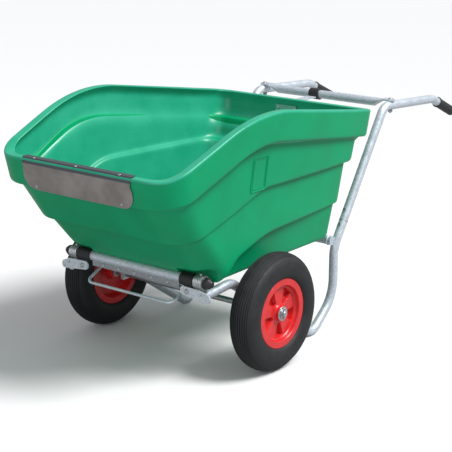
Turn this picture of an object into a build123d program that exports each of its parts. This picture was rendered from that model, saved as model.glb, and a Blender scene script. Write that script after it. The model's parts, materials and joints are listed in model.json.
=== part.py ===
"""Two-wheeled tipping barrow with a stepped plastic tub on a galvanised tube frame.

Millimetres, +Z up, +X towards the tipping lip, +Y to the left. Every sub-part is modelled
about a working origin on the ground under the axle, and moved forward by axle_x on export,
so that the finished model stands centred over its own origin.
"""
from build123d import *
import os
from math import atan, cos, degrees, radians, sin, tan

# ---------------------------------------------------------------- driving dimensions
axle_x = 380.5            # from the model's origin forward to the axle

# wheels
tyre_radius = 200.0
tyre_width = 99.0
tyre_wall = 8.0
track = 738.0             # between the wheels' centre planes
bead_radius = 101.0
rim_flange_radius = 117.5
rim_flange = 5.0
rim_half_width = 38.0     # from the wheel's centre plane to the outer flange face
barrel_wall = 6.5
hub_radius = 25.0
hub_outer = 40.0          # hub ends, from the wheel's centre plane
hub_inner = 38.0
axle_radius = 10.0
bush_wall = 4.0
bush_length = 22.0
spokes = 5
washer_radius = 17.0
washer_thick = 3.0
split_pin_radius = 1.6
disc_inner = -8.0         # faces of the pocketed disc, from the wheel's centre plane
disc_outer = 14.0
valve_y = -18.0
valve_turn = 36.0
valve_radius = 4.0

# frame tubes
tube_radius = 16.0
tube_wall = 2.6
side_y = 287.0            # planes of the side tubes
diagonal_angle = 33.7     # side tube's slope behind the hump, degrees
heel_angle = 38.7         # slope of the foot behind the ground contact
front_rise = 4.4          # slope of the short run behind the hinge plate
foot_bend = 50.0
heel_bend = 80.0
hump_bend = 70.0
leg_x = -474.0            # upright part of the legs
lean_start = 291.0
lean_angle = 33.6         # upper legs lean back this much from upright
lean_bend = 120.0
splice_z = 380.0
plug_length = 60.0
top_z = 758.0             # leg and handle tubes at the top bolt
top_bend = 50.0
member_z = 320.0          # rear cross member that carries the tub
member_x = -464.0

# handles
handle_fall = 3.6
grip_fall = 24.5
handle_bend_x = -1133.0
handle_bend = 80.0
handle_end_x = -1283.0
grip_length = 122.0
grip_radius = 18.5
grip_end_wall = 5.0

# hinge
hinge_x = 255.0
hinge_z = 346.0
hinge_tube_radius = 16.85
hinge_tube_wall = 3.2
hinge_half = 302.0
hinge_bush_radius = 23.0
hinge_bush_inner = 198.0
hinge_bush_outer = 251.0
collar_inner = 255.0
collar_outer = 290.0
collar_radius = 23.5
cap_outer = 320.0
cap_radius = 19.5
plate_x = 271.0           # rear face of the hinge plates
plate_thick = 5.0
plate_top = 328.0
plate_bottom = 291.0
plate_inner = 203.0
plate_outer = 324.0
plate_bolt_y = 230.0
plate_bolt_z = 311.0
spare_hole_y = 290.0
spare_hole_z = 312.0
spare_hole_radius = 4.25
strip_thick = 4.0
strip_x = 261.5
strip_half = 190.0
strip_bottom = 315.0
strip_screw_pitch = 70.5
strip_screws = 5
strip_screw_z = strip_bottom + 9.0
foot_rib = 60.0           # moulded foot, from the strip back under the floor
foot_half = 178.0

# tub
wall = 7.0
rim_wall = 14.0
rim_round = 6.0
widest_x = 60.0
pocket_radius = 46.0
pocket_inner = 190.0
pocket_outer = 323.0
front_slope_factor = 1.35  # a sloping wall, measured level, per millimetre of its thickness

# wear plate
wear_thick = 2.5
wear_half = 234.0
wear_low_half = 218.0
wear_bottom = 627.0
wear_corner = 32.0
wear_screw_y = 181.0

# small hardware
screw_radius = 4.0
head_radius = 6.0
head_high = 3.0
rivet_radius = 2.4
gap = 0.3                 # between rounded faces that only rest on each other
running = 0.08            # radial clearance of shafts in their bushes

# rear catch
catch_y = -45.0
catch_plate_y = -30.0
sleeve_length = 42.0
sleeve_radius = 21.0
tongue_reach = 30.0
tongue_thick = 6.0
top_tab = 5.4             # flattened ends of the top cross tube
top_clear = 1.3           # lets the level tabs clear the sloping handles
catch_foot = 34.0
catch_screw_drop = 17.0
catch_screw_apart = 72.0
catch_screw_radius = 3.0
catch_bar_thick = 4.0
catch_bar_width = 36.0

# front bar under the tub
bar_radius = 5.0
bar_half = 188.0
bar_front_x = 299.0
bar_front_z = 268.0
bar_slope = 24.6
bar_corner = 26.0
bar_tail = 70.0

os.makedirs("parts", exist_ok=True)
made = {}


def save(name, *solids):
    """Keep the solids as one node, moved from the axle's frame to the model's."""
    moved = [Pos(axle_x, 0, 0) * solid for solid in solids]
    shape = moved[0] if len(moved) == 1 else Compound(children=moved)
    export_step(shape, f"parts/{name}.step")
    made[name] = shape


def both(name, left):
    """Write a left-hand piece and its mirror image."""
    save(f"{name}_left", left)
    save(f"{name}_right", mirror(left, Plane.XZ))


def pair(solid):
    """A solid and its mirror image on the other side."""
    return [solid, mirror(solid, Plane.XZ)]


def in_side_plane(curve, y):
    """Stand a curve drawn in X and Z upright in the plane at this y."""
    return Pos(0, y, 0) * (Plane.XZ * curve)


def pipe(path, outer, inner):
    """Sweep a ring along a path; an inner radius of 0 gives a solid rod."""
    start = Plane(origin=path @ 0, z_dir=path % 0)
    solid = sweep(start * Circle(outer), path=path)
    if inner:
        solid -= sweep(start * Circle(inner), path=path)
    return solid


def rod(start, end, radius):
    """A cylinder between two points."""
    axis = Vector(end) - Vector(start)
    return extrude(Plane(origin=start, z_dir=axis) * Circle(radius), axis.length)


def along_y(radius, y_from, y_to, x=0.0, z=0.0):
    """A cylinder along Y between two y values."""
    return rod((x, y_from, z), (x, y_to, z), radius)


def block(x, y, z):
    """A box from three (low, high) spans."""
    size = [high - low for low, high in (x, y, z)]
    middle = [(high + low) / 2 for low, high in (x, y, z)]
    return Pos(*middle) * Box(*size)


# ---------------------------------------------------------------- tub
# Each tier's outline is its rear x, front x, half widths at the rear, middle and front, and
# rear and front corner radii at a reference height, then how much the rear, the front and
# the sides grow per millimetre of height.
tiers = [
    dict(z=730, rear=-629.6, front=531.0, half=(341.0, 387.0, 374.0), corner=(60.0, 108.0),
         grow=(-0.155, 0.19, 0.08)),
    dict(z=600, rear=-547.0, front=472.0, half=(323.5, 355.0, 340.0), corner=(58.0, 108.0),
         grow=(-0.2, 0.667, 0.08)),
    dict(z=450, rear=-488.0, front=348.0, half=(305.0, 333.0, 330.0), corner=(52.0, 100.0),
         grow=(-0.19, 0.976, 0.06)),
    dict(z=400, rear=-465.0, front=299.0, half=(294.0, 301.0, 304.0), corner=(46.0, 80.0),
         grow=(-0.09, 0.976, 0.15)),
]
tub_floor = member_z + tube_radius + gap
far_below = 250.0          # the lowest tier is drawn down to here and cut off at the floor
rim_line = ([(-720, 762.6), (105, 890.4), (507, 729), (620, 729)], [640, 60])
tier_lines = [
    ([(-720, 667), (86, 783.5), (432, 643), (620, 613)], [450, 120]),
    ([(-720, 602), (31, 620), (385, 496.5), (620, 487)], [250, 60]),
    ([(-720, 472), (-20, 455), (150, 402), (255, 262)], [400, 120]),
]


def plan(tier, z, inset=0.0, front_inset=0.0):
    """Outline of a tier at one height: bowed sides, straight ends and rounded corners."""
    up = z - tier["z"]
    grow_rear, grow_front, grow_side = tier["grow"]
    rear = tier["rear"] + grow_rear * up + inset
    front = tier["front"] + grow_front * up - front_inset
    at_rear, at_middle, at_front = (h + grow_side * up - inset for h in tier["half"])
    left = ThreePointArc((front, at_front), (widest_x, at_middle), (rear, at_rear))
    right = ThreePointArc((rear, -at_rear), (widest_x, -at_middle), (front, -at_front))
    face = make_face(left + Line(left @ 1, right @ 0) + right + Line(right @ 1, left @ 0))
    at_rear, at_front = (corner - inset for corner in tier["corner"])
    face = fillet(face.vertices().group_by(Axis.X)[0], at_rear)
    return Pos(0, 0, z) * fillet(face.vertices().group_by(Axis.X)[-1], at_front)


def between(upper, lower, lift=0.0):
    """Everything between two tier lines, drawn in side view and wide enough for the tub."""
    top = Pos(0, lift) * FilletPolyline(*upper[0], radius=upper[1])
    low = Pos(0, lift) * FilletPolyline(*lower[0], radius=lower[1])
    face = make_face(top + Line(top @ 1, low @ 1) + low + Line(low @ 0, top @ 0))
    return extrude(Plane.XZ * face, 600, both=True)


def level_line(z):
    """A level line, in the form that the tier lines have."""
    return ([(-720, z), (0, z + 0.001), (500, z), (620, z)], [100, 100])


def raised(line, rise):
    """A tier line lifted by some height."""
    return ([(x, z + rise) for x, z in line[0]], line[1])


def tier_solid(number, inset=0.0, front_inset=0.0, lift=0.0):
    """One tier of the tub, or of its inside when insets and the floor's lift are given."""
    upper = rim_line if number == 0 else raised(tier_lines[number - 1], lift + 1.0)
    if number == 0 and lift:
        upper = raised(rim_line, 40.0)
    lower = level_line(far_below) if number == 3 else tier_lines[number]
    lower = raised(lower, lift)
    top = max(z for x, z in upper[0]) + 1
    low = min(z for x, z in lower[0]) - 1
    ends = [plan(tiers[number], z, inset, front_inset) for z in (low, top)]
    return loft(ends, ruled=True) & between(upper, lower)


def pocket(radius, y_from, y_to):
    """Room for a hinge bush: round over the top, open to the front and below."""
    side = hinge_x - radius
    round_part = along_y(radius, y_from, y_to, hinge_x, hinge_z)
    below = block((side, hinge_x + radius), (y_from, y_to), (hinge_z - 90, hinge_z))
    return round_part + below


def strip_rows():
    """The y of each screw along the hinge strip."""
    return [(n - (strip_screws - 1) / 2) * strip_screw_pitch for n in range(strip_screws)]


def tub():
    """The tub: four lapped tiers, an inside that follows them, and the hinge's recesses."""
    slope_wall = wall * front_slope_factor
    shell = tier_solid(0)
    inside = tier_solid(0, rim_wall, rim_wall, wall)
    for n in (1, 2, 3):
        shell += tier_solid(n)
        inside += tier_solid(n, wall, slope_wall, wall)
    below = block((-900, 900), (-600, 600), (0, tub_floor))
    shell -= below
    inside -= Pos(0, 0, wall) * below
    for bump in pair(pocket(pocket_radius + wall, pocket_inner - wall, pocket_outer + wall)):
        inside -= bump
    inside -= along_y(hinge_tube_radius + gap + wall, -pocket_inner, pocket_inner, hinge_x, hinge_z)
    shell -= inside
    shell += block((strip_x - foot_rib, strip_x), (-foot_half, foot_half), (strip_bottom, tub_floor + 5))
    for recess in pair(pocket(pocket_radius, pocket_inner, pocket_outer)):
        shell -= recess
    shell -= along_y(hinge_tube_radius + gap, -pocket_inner, pocket_inner, hinge_x, hinge_z)
    for y in strip_rows():
        shell -= rod((strip_x - 20, y, strip_screw_z), (strip_x + 1, y, strip_screw_z), rivet_radius)
    for y in catch_screw_rows():
        shell -= rod((-700, y, catch_screw_z()), (-600, y, catch_screw_z()), catch_screw_radius + 0.1)
    return shell


def rear_face_x(z, inset=0.0):
    """The tub's rear face at one height of the band."""
    tier = tiers[0]
    return tier["rear"] + tier["grow"][0] * (z - tier["z"]) + inset


def front_face_x(z):
    """The band's front face at one height."""
    tier = tiers[0]
    return tier["front"] + tier["grow"][1] * (z - tier["z"])


# ---------------------------------------------------------------- wear plate on the lip
lip_z = rim_line[0][2][1]


def wear_profile(low, high):
    """Side view of the folded plate between two distances from the tub's skin."""
    foot = (front_face_x(wear_bottom) + low, wear_bottom)
    top = (front_face_x(lip_z + low) + low, lip_z + low)
    tail = (front_face_x(lip_z) - rim_wall, lip_z + low)
    foot_out = (front_face_x(wear_bottom) + high, wear_bottom)
    top_out = (front_face_x(lip_z + high) + high, lip_z + high)
    tail_out = (front_face_x(lip_z) - rim_wall, lip_z + high)
    return make_face(Polyline(foot, top, tail, tail_out, top_out, foot_out, close=True))


def wear_plate():
    """Steel sheet folded over the lip, narrower and round-cornered at its lower edge."""
    sheet = extrude(Plane.XZ * wear_profile(gap, gap + wear_thick), wear_half, both=True)
    shoulder_z = lip_z - 18
    corners = [(-wear_low_half, wear_bottom), (wear_low_half, wear_bottom),
               (wear_half, shoulder_z), (wear_half, lip_z + 20),
               (-wear_half, lip_z + 20), (-wear_half, shoulder_z)]
    outline = make_face(Polyline(*corners, close=True))
    low = outline.vertices().sort_by(Axis.Y)[:2]
    outline = fillet(low, wear_corner)
    front = Pos(560, 0, 0) * (Plane.YZ * outline)
    cutter = extrude(front, 100, both=True)
    sheet = sheet & cutter
    for place in wear_screw_places():
        sheet -= place * Cylinder(rivet_radius, 30)
    return sheet


def wear_screw_places():
    """Where the plate's screws stand: three on the fold, two low on the face."""
    on_top = [Location((front_face_x(lip_z) - 7, y, lip_z + gap + wear_thick), (0, 0, 0))
              for y in (-wear_screw_y, 0, wear_screw_y)]
    low_z = wear_bottom + 12
    tilt = 90 + degrees(atan(tiers[0]["grow"][1]))
    low = [Location((front_face_x(low_z) + gap + wear_thick, y, low_z), (0, tilt, 0))
           for y in (-wear_screw_y, wear_screw_y)]
    return on_top + low


def pan_screw(length, radius=rivet_radius, head=head_radius, high=head_high):
    """A round-headed screw standing on z = 0 with its shank below."""
    dome = Pos(0, 0, high / 2) * Cylinder(head, high)
    dome = fillet(dome.edges().group_by(Axis.Z)[-1], high * 0.6)
    return dome + Pos(0, 0, -length / 2) * Cylinder(radius, length)


# ---------------------------------------------------------------- hinge
def hinge_tube():
    """The tube that the tub tips on, closed by the end caps."""
    outer = along_y(hinge_tube_radius, -hinge_half, hinge_half, hinge_x, hinge_z)
    return outer - along_y(hinge_tube_radius - hinge_tube_wall, -hinge_half, hinge_half,
                           hinge_x, hinge_z)


def hinge_strip():
    """Flat strip under the hinge tube, screwed to the tub's moulded foot."""
    top = hinge_z - 9
    strip = block((strip_x, strip_x + strip_thick), (-strip_half, strip_half), (strip_bottom, top))
    strip -= along_y(hinge_tube_radius, -hinge_half, hinge_half, hinge_x, hinge_z)
    for y in strip_rows():
        strip -= rod((strip_x - 1, y, strip_screw_z), (strip_x + 9, y, strip_screw_z), rivet_radius)
    return strip


def strip_screw(y):
    """One screw of the strip, its head to the front."""
    place = Location((strip_x + strip_thick, y, strip_screw_z), (0, 90, 0))
    return place * pan_screw(18)


def hinge_bush():
    """Plastic bush with a flat foot that is bolted behind the hinge plate."""
    sleeve = along_y(hinge_bush_radius, hinge_bush_inner, hinge_bush_outer, hinge_x, hinge_z)
    foot = block((plate_x - 22, plate_x), (plate_bolt_y - 16, plate_bolt_y + 16),
                 (plate_bottom + 8, hinge_z - 12))
    bush = sleeve + foot
    bush -= along_y(hinge_tube_radius + running, hinge_bush_inner, hinge_bush_outer,
                    hinge_x, hinge_z)
    return bush - rod((plate_x - 30, plate_bolt_y, plate_bolt_z),
                      (plate_x + 1, plate_bolt_y, plate_bolt_z), screw_radius + 0.1)


def hinge_collar():
    """Steel ring on the hinge tube, outside the bush."""
    ring = along_y(collar_radius, collar_inner, collar_outer, hinge_x, hinge_z)
    middle = (collar_inner + collar_outer) / 2
    ring -= along_y(hinge_tube_radius, collar_inner, collar_outer, hinge_x, hinge_z)
    return ring - rod((hinge_x, middle, hinge_z), (hinge_x, middle, hinge_z + 40), rivet_radius)


def collar_screw():
    """Set screw in the top of a collar."""
    middle = (collar_inner + collar_outer) / 2
    base = hinge_z + hinge_tube_radius
    shank = rod((hinge_x, middle, base), (hinge_x, middle, hinge_z + collar_radius + 1), rivet_radius)
    head = Pos(hinge_x, middle, hinge_z + collar_radius) * extrude(RegularPolygon(5.5, 6), 5)
    return shank + head


def hinge_cap():
    """Plastic cap that closes one end of the hinge tube."""
    start = collar_outer + gap
    cap = along_y(cap_radius, start, cap_outer, hinge_x, hinge_z)
    cap = fillet(cap.edges().group_by(Axis.Y)[-1], 4)
    return cap - along_y(hinge_tube_radius, start - 1, hinge_half, hinge_x, hinge_z)


def hinge_plate():
    """Upright plate at the front of a side tube, with the bush's bolt and two spare holes."""
    corners = [(plate_inner, plate_top), (plate_inner, plate_bottom + 8),
               (spare_hole_y + 10, plate_bottom - 3), (plate_outer, plate_bottom - 6),
               (plate_outer, plate_bottom + 20), (spare_hole_y, plate_top - 3)]
    face = make_face(Polyline(*corners, close=True))
    inner = face.vertices().group_by(Axis.X)[0]
    outer = face.vertices().group_by(Axis.X)[-1]
    face = fillet(inner, 12)
    face = fillet(face.vertices().group_by(Axis.X)[-1], 12)
    plate = extrude(Plane.YZ.offset(plate_x) * face, plate_thick)
    holes = [(plate_bolt_y, plate_bolt_z, screw_radius + 0.1),
             (spare_hole_y, spare_hole_z, spare_hole_radius),
             (plate_outer - 13, plate_bottom + 4, 3.0)]
    for y, z, radius in holes:
        plate -= rod((plate_x - 1, y, z), (plate_x + plate_thick + 1, y, z), radius)
    return plate


def plate_bolt():
    """Bolt and nut through the hinge plate and the bush's foot."""
    front = plate_x + plate_thick
    place = Location((front, plate_bolt_y, plate_bolt_z), (0, 90, 0))
    return place * pan_screw(34, screw_radius, 8.5, 4.5)


def plate_nut():
    """Nut behind the bush's foot."""
    place = Location((plate_x - 22 - 6.5, plate_bolt_y, plate_bolt_z), (0, 90, 0))
    nut = extrude(RegularPolygon(7.5, 6), 6.5) - Cylinder(screw_radius, 30)
    return place * nut


# ---------------------------------------------------------------- frame
axle_z = tyre_radius
diagonal_rise = tan(radians(diagonal_angle))
heel_rise = tan(radians(heel_angle))
front_slope = tan(radians(front_rise))
lean = tan(radians(lean_angle))


def side_points():
    """Corners of a side tube's centre line, from the hinge plate to the splice."""
    over_axle = axle_z + (tube_radius + axle_radius + gap) / cos(radians(diagonal_angle))
    turn = (diagonal_angle + heel_angle) / 2
    skew = (heel_angle - diagonal_angle) / 2
    foot_drop = foot_bend * (cos(radians(skew)) / cos(radians(turn)) - 1)
    foot_z = tube_radius - foot_drop
    foot_x = (foot_z - over_axle) / diagonal_rise
    heel_z = foot_z + (foot_x - leg_x) * heel_rise
    front_z = plate_bottom - 5.0
    reach = plate_x * front_slope + front_z - over_axle
    hump_x = reach / (diagonal_rise + front_slope)
    hump_z = over_axle + diagonal_rise * hump_x
    splice_x = leg_x - (splice_z - lean_start) * lean
    over = 3.0
    return [(plate_x + over, front_z - over * front_slope), (hump_x, hump_z), (foot_x, foot_z),
            (leg_x, heel_z), (leg_x, lean_start), (splice_x, splice_z)]


def side_path():
    """Centre line of a side tube in its own plane."""
    bends = [hump_bend, foot_bend, heel_bend, lean_bend]
    return in_side_plane(FilletPolyline(*side_points(), radius=bends), side_y)


def side_tube():
    """Bent tube from the hinge plate over the axle, down to the foot and up to the splice."""
    tube = pipe(side_path(), tube_radius, tube_radius - tube_wall)
    tube -= block((plate_x, plate_x + 20), (side_y - 30, side_y + 30), (240, 330))
    for z in splice_bolt_rows():
        tube -= splice_hole(z)
    return tube


def splice_bolt_rows():
    """Heights of the two bolts in a splice, below its edge."""
    return (splice_z - 18, splice_z + 30)


def lean_x(z):
    """Centre line of the leaning leg at one height."""
    return leg_x - (z - lean_start) * lean


def splice_hole(z, radius=3.1):
    """A hole straight through the leaning leg, square to it in the side plane."""
    centre = Vector(lean_x(z), side_y, z)
    out = Vector(cos(radians(lean_angle)), 0, sin(radians(lean_angle)))
    return rod(centre - out * 30, centre + out * 30, radius)


def splice_bolt(z):
    """Screw with a nut through the splice; the head faces the tub."""
    centre = Vector(lean_x(z), side_y, z)
    out = Vector(cos(radians(lean_angle)), 0, sin(radians(lean_angle)))
    seat = centre + out * tube_radius
    plane = Plane(origin=seat, z_dir=out)
    head = plane * extrude(RegularPolygon(6.5, 6), 4.0)
    shank = rod(centre - out * (tube_radius + 7), seat, 3.0)
    back = Plane(origin=centre - out * (tube_radius + 5), z_dir=out)
    return head + shank + back * extrude(RegularPolygon(6.0, 6), 5.0)


def top_corner():
    """Where the leaning leg's line meets the handle's line."""
    return (lean_x(top_z), top_z)


def top_end_x():
    """Where the leg's top bend ends and the handle tube begins."""
    turn = 90 - lean_angle + handle_fall
    return lean_x(top_z) - top_bend * tan(radians(turn / 2)) * cos(radians(handle_fall)) - 1.0


def handle_line_z(x):
    """Height of the handle's centre line behind the top corner."""
    return top_z - (lean_x(top_z) - x) * tan(radians(handle_fall))


def upper_leg():
    """Leaning leg that plugs into the side tube below and the handle above."""
    corner = top_corner()
    start = Vector(lean_x(splice_z), splice_z)
    end = Vector(top_end_x(), handle_line_z(top_end_x()))
    down = Vector(sin(radians(lean_angle)), -cos(radians(lean_angle)))
    back = Vector(-cos(radians(handle_fall)), -sin(radians(handle_fall)))

    def stretched(extra):
        points = (start + down * extra, corner, end + back * extra)
        return in_side_plane(FilletPolyline(*points, radius=top_bend), side_y)

    plug = tube_radius - tube_wall - 0.1
    leg = pipe(stretched(0), tube_radius, 0) + pipe(stretched(plug_length), plug, 0)
    leg -= pipe(stretched(plug_length + 1), plug - 2.4, 0)
    leg -= top_bolt_hole()
    for z in splice_bolt_rows():
        leg -= splice_hole(z)
    return leg


def top_bolt_x():
    """The top bolts stand this far back."""
    return top_end_x() - 14.0


def top_bolt_hole(radius=4.2):
    """Upright hole through the handle, the leg's plug and the cross tube's end."""
    x = top_bolt_x()
    return rod((x, side_y, top_z - 40), (x, side_y, top_z + 40), radius)


def handle_points():
    """Corners of a handle's centre line."""
    start_x = top_end_x()
    bend_z = handle_line_z(handle_bend_x)
    end_z = bend_z - (handle_bend_x - handle_end_x) * tan(radians(grip_fall))
    return [(start_x, handle_line_z(start_x)), (handle_bend_x, bend_z), (handle_end_x, end_z)]


def handle():
    """Handle tube, its end bent down under the grip."""
    path = in_side_plane(FilletPolyline(*handle_points(), radius=handle_bend), side_y)
    return pipe(path, tube_radius, tube_radius - tube_wall) - top_bolt_hole()


def grip():
    """Closed plastic grip over the end of the handle."""
    start, bend, end = handle_points()
    fall = radians(grip_fall)
    axis = Vector(-cos(fall), 0, -sin(fall))
    tip = Vector(end[0], side_y, end[1])
    length = grip_length + grip_end_wall
    mouth = tip - axis * grip_length
    solid = rod(mouth, tip + axis * grip_end_wall, grip_radius)
    solid = fillet(solid.edges().filter_by(GeomType.CIRCLE), 2.5)
    ring = rod(mouth, mouth + axis * 7, grip_radius + 2.0)
    solid += fillet(ring.edges().filter_by(GeomType.CIRCLE), 1.5)
    return solid - rod(mouth - axis, tip, tube_radius)


def rear_cross_member():
    """Tube between the legs that carries the tub's rear edge, coped to the legs."""
    tube = along_y(tube_radius, -side_y, side_y, member_x, member_z)
    end = side_y - tube_wall
    tube -= along_y(tube_radius - tube_wall, -end, end, member_x, member_z)
    for leg in pair(pipe(side_path(), tube_radius, 0)):
        tube -= leg
    return tube.solids().sort_by(SortBy.VOLUME)[-1]


def top_seat_z():
    """Upper face of the cross tube's flat ends."""
    return handle_line_z(top_bolt_x()) + tube_radius / cos(radians(handle_fall)) + top_clear + top_tab


def cross_z():
    """Height of the top cross tube's axis."""
    return top_seat_z() - tube_radius


def top_cross_tube():
    """Cross tube with flattened ends that lie on the handles under the top bolts."""
    x = top_bolt_x()
    seat = top_seat_z() - top_tab
    tab_from, tube_to = side_y - 26.0, side_y - 66.0
    tube = along_y(tube_radius, -tube_to, tube_to, x, cross_z())
    tube -= along_y(tube_radius - tube_wall, -tube_to + 12, tube_to - 12, x, cross_z())
    across = dict(z_dir=(0, 1, 0), x_dir=(1, 0, 0))
    round_end = Plane(origin=(x, tube_to, cross_z()), **across) * Circle(tube_radius)
    flat_end = Plane(origin=(x, tab_from, seat + top_tab / 2), **across) * Ellipse(21, top_tab / 2)
    tab = block((x - 17, x + 17), (tab_from - 6, side_y), (seat, seat + top_tab))
    tab += Pos(x, side_y, seat) * extrude(Circle(17), top_tab)
    for end in pair(loft([round_end, flat_end]) + tab - top_bolt_hole()):
        tube += end
    return tube


def top_bolt():
    """Bolt through a top joint, head up."""
    x = top_bolt_x()
    seat = top_seat_z()
    return Pos(x, side_y, seat) * pan_screw(seat - nut_seat_z() + 11, 4.0, 8.5, 4.5)


def nut_seat_z():
    """Underside of the handle at the bolt."""
    x = top_bolt_x()
    return handle_line_z(x) - tube_radius / cos(radians(handle_fall)) - 0.6


def top_nut():
    """Washer and nut under a top joint."""
    nut = extrude(RegularPolygon(8.0, 6), -7) + extrude(Circle(10), 1.0) - Cylinder(4.0, 60)
    return Pos(top_bolt_x(), side_y, nut_seat_z() - 1.2) * nut


def axle_saddle():
    """Bracket that holds the axle under a side tube."""
    half = 7.0
    face = block((-17, 17), (side_y - half, side_y + half), (axle_z - 17, axle_z + 30))
    solid = face - along_y(axle_radius, side_y - 20, side_y + 20, 0, axle_z)
    solid -= pipe(side_path(), tube_radius, 0)
    return solid.solids().sort_by(Axis.Z)[0]


# ---------------------------------------------------------------- rear catch
def catch_sleeve():
    """Plastic sleeve that turns on the cross tube, with the tongue that locks the tub."""
    x, z = top_bolt_x(), cross_z()
    low, high = catch_y - sleeve_length / 2, catch_y + sleeve_length / 2
    sleeve = along_y(sleeve_radius, low, high, x, z)
    tongue = block((x - sleeve_radius - tongue_reach, x), (low + 6, high - 6),
                   (z, z + tongue_thick))
    tongue = fillet(tongue.edges().filter_by(Axis.Z).group_by(Axis.X)[0], 8)
    return sleeve + tongue - along_y(tube_radius + running, low, high, x, z)


def catch_bar_z():
    """Top of the catch bar, just under the tongue when that is swung forward."""
    return cross_z() - tongue_thick - gap


def catch_screw_z():
    """Height of the catch's two screws."""
    return catch_bar_z() - catch_screw_drop


def catch_screw_rows():
    """The y of the catch's two screws."""
    return (catch_plate_y - catch_screw_apart / 2, catch_plate_y + catch_screw_apart / 2)


def catch_bar():
    """Cranked flat bar on the tub's rear wall, which the tongue holds down."""
    high, low = catch_bar_z(), catch_bar_z() - catch_foot
    wall_high, wall_low = rear_face_x(high) - gap, rear_face_x(low) - gap
    back = top_bolt_x() + sleeve_radius + 4
    arm = block((back, wall_high), (catch_y - catch_bar_width / 2, catch_y + catch_bar_width / 2),
                (high - catch_bar_thick, high))
    foot = Polyline((wall_high, high), (wall_low, low), (wall_low - catch_bar_thick, low),
                    (wall_high - catch_bar_thick, high), close=True)
    bar = arm + Pos(0, catch_plate_y, 0) * extrude(Plane.XZ * make_face(foot), 48, both=True)
    web = Polyline((wall_high - 1, high), (wall_low - 1, low), (wall_high - 60, high), close=True)
    bar += Pos(0, catch_y, 0) * extrude(Plane.XZ * make_face(web), 2, both=True)
    for y in catch_screw_rows():
        bar -= rod((wall_high - 20, y, catch_screw_z()), (wall_high + 20, y, catch_screw_z()),
                   catch_screw_radius + 0.1)
    return bar


def catch_plate_x():
    """Rear face of the backing plate inside the tub's rear wall."""
    return rear_face_x(catch_screw_z() - 12, rim_wall) + gap


def catch_plate():
    """Backing plate on the inside of the tub's rear wall."""
    x, z = catch_plate_x(), catch_screw_z()
    plate = block((x, x + 3), (catch_plate_y - 46, catch_plate_y + 46), (z - 12, z + 12))
    for y in catch_screw_rows():
        plate -= rod((x - 1, y, z), (x + 4, y, z), catch_screw_radius + 0.1)
    return plate


def catch_screw(y):
    """Screw through the rear wall, its head inside the tub."""
    place = Location((catch_plate_x() + 3, y, catch_screw_z()), (0, 90, 0))
    return place * pan_screw(34, catch_screw_radius)


# ---------------------------------------------------------------- front bar
def bar_rise_x(z):
    """Where the front bar's arms reach a height."""
    return bar_front_x - (z - bar_front_z) / tan(radians(bar_slope))


def front_bar():
    """Bent rod in front of the hinge, its arms carried back under the tub's floor."""
    top = tub_floor - bar_radius - gap
    back_x = bar_rise_x(top)
    tail_x = back_x - bar_tail
    points = [(tail_x, bar_half, top), (back_x, bar_half, top), (bar_front_x, bar_half, bar_front_z),
              (bar_front_x, -bar_half, bar_front_z), (back_x, -bar_half, top), (tail_x, -bar_half, top)]
    path = FilletPolyline(*points, radius=[40, bar_corner, bar_corner, 40])
    return pipe(path, bar_radius, 0)


def bar_clip():
    """Saddle clip that holds an arm of the front bar to the floor."""
    top = tub_floor - gap
    z = tub_floor - bar_radius - gap
    x = bar_rise_x(z) - bar_tail / 2
    low = z - bar_radius - 2
    clip = block((x - 9, x + 9), (bar_half - 9, bar_half + 9), (low, top))
    clip += block((x - 9, x + 9), (bar_half - 24, bar_half + 24), (top - 3, top))
    for side in (-17, 17):
        clip -= Pos(x, bar_half + side, top) * Cylinder(2.0, 20)
    return clip - rod((x - 20, bar_half, z), (x + 20, bar_half, z), bar_radius + 0.05)


def clip_screws():
    """The two screws of a clip."""
    z = tub_floor - bar_radius - gap
    x = bar_rise_x(z) - bar_tail / 2
    top = tub_floor - gap - 3
    return [Location((x, bar_half + side, top), (180, 0, 0)) * pan_screw(2.9, 2.0, 5.0, 2.5)
            for side in (-17, 17)]


# ---------------------------------------------------------------- wheels
# A wheel is drawn about its own centre, its outer side towards +Y.
def spun(face):
    """Revolve a section, drawn in Y (across) and Z (radius), about the wheel's axle."""
    return revolve(Plane.YZ * face, Axis.Y)


def tyre_section(shrink=0.0):
    """Section of the tyre's outside, or of its air space when it is shrunk."""
    half, crown = tyre_width / 2 - shrink, tyre_radius - shrink
    foot_half = rim_half_width - rim_flange - shrink
    foot = bead_radius - (1.0 if shrink else 0.0)
    over_flange = rim_flange_radius + 1.0
    belly = bead_radius + 49.0
    shoulder = (half * 0.72, crown - 13)
    side = ThreePointArc((-foot_half, over_flange), (-half, belly), (-shoulder[0], shoulder[1]))
    over = ThreePointArc((-shoulder[0], shoulder[1]), (0, crown), shoulder)
    other = ThreePointArc(shoulder, (half, belly), (foot_half, over_flange))
    base = Polyline((foot_half, over_flange), (foot_half, foot), (-foot_half, foot),
                    (-foot_half, over_flange))
    return make_face(side + over + other + base)


def tyre():
    """Tyre with a ribbed tread, hollow and open towards the rim."""
    body = spun(tyre_section() - tyre_section(tyre_wall))
    for across in (-27, -13.5, 0, 13.5, 27):
        groove = Pos(across, tyre_radius) * Rectangle(2.4, 9)
        body -= spun(groove & (Pos(0, tyre_radius - 5) * Rectangle(80, 12)))
    return body


def inner_tube():
    """Inner tube, seated on the rim's barrel."""
    centre = bead_radius + 45
    return spun(Pos(0, centre) * (Circle(36) - Circle(33.5)))


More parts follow.
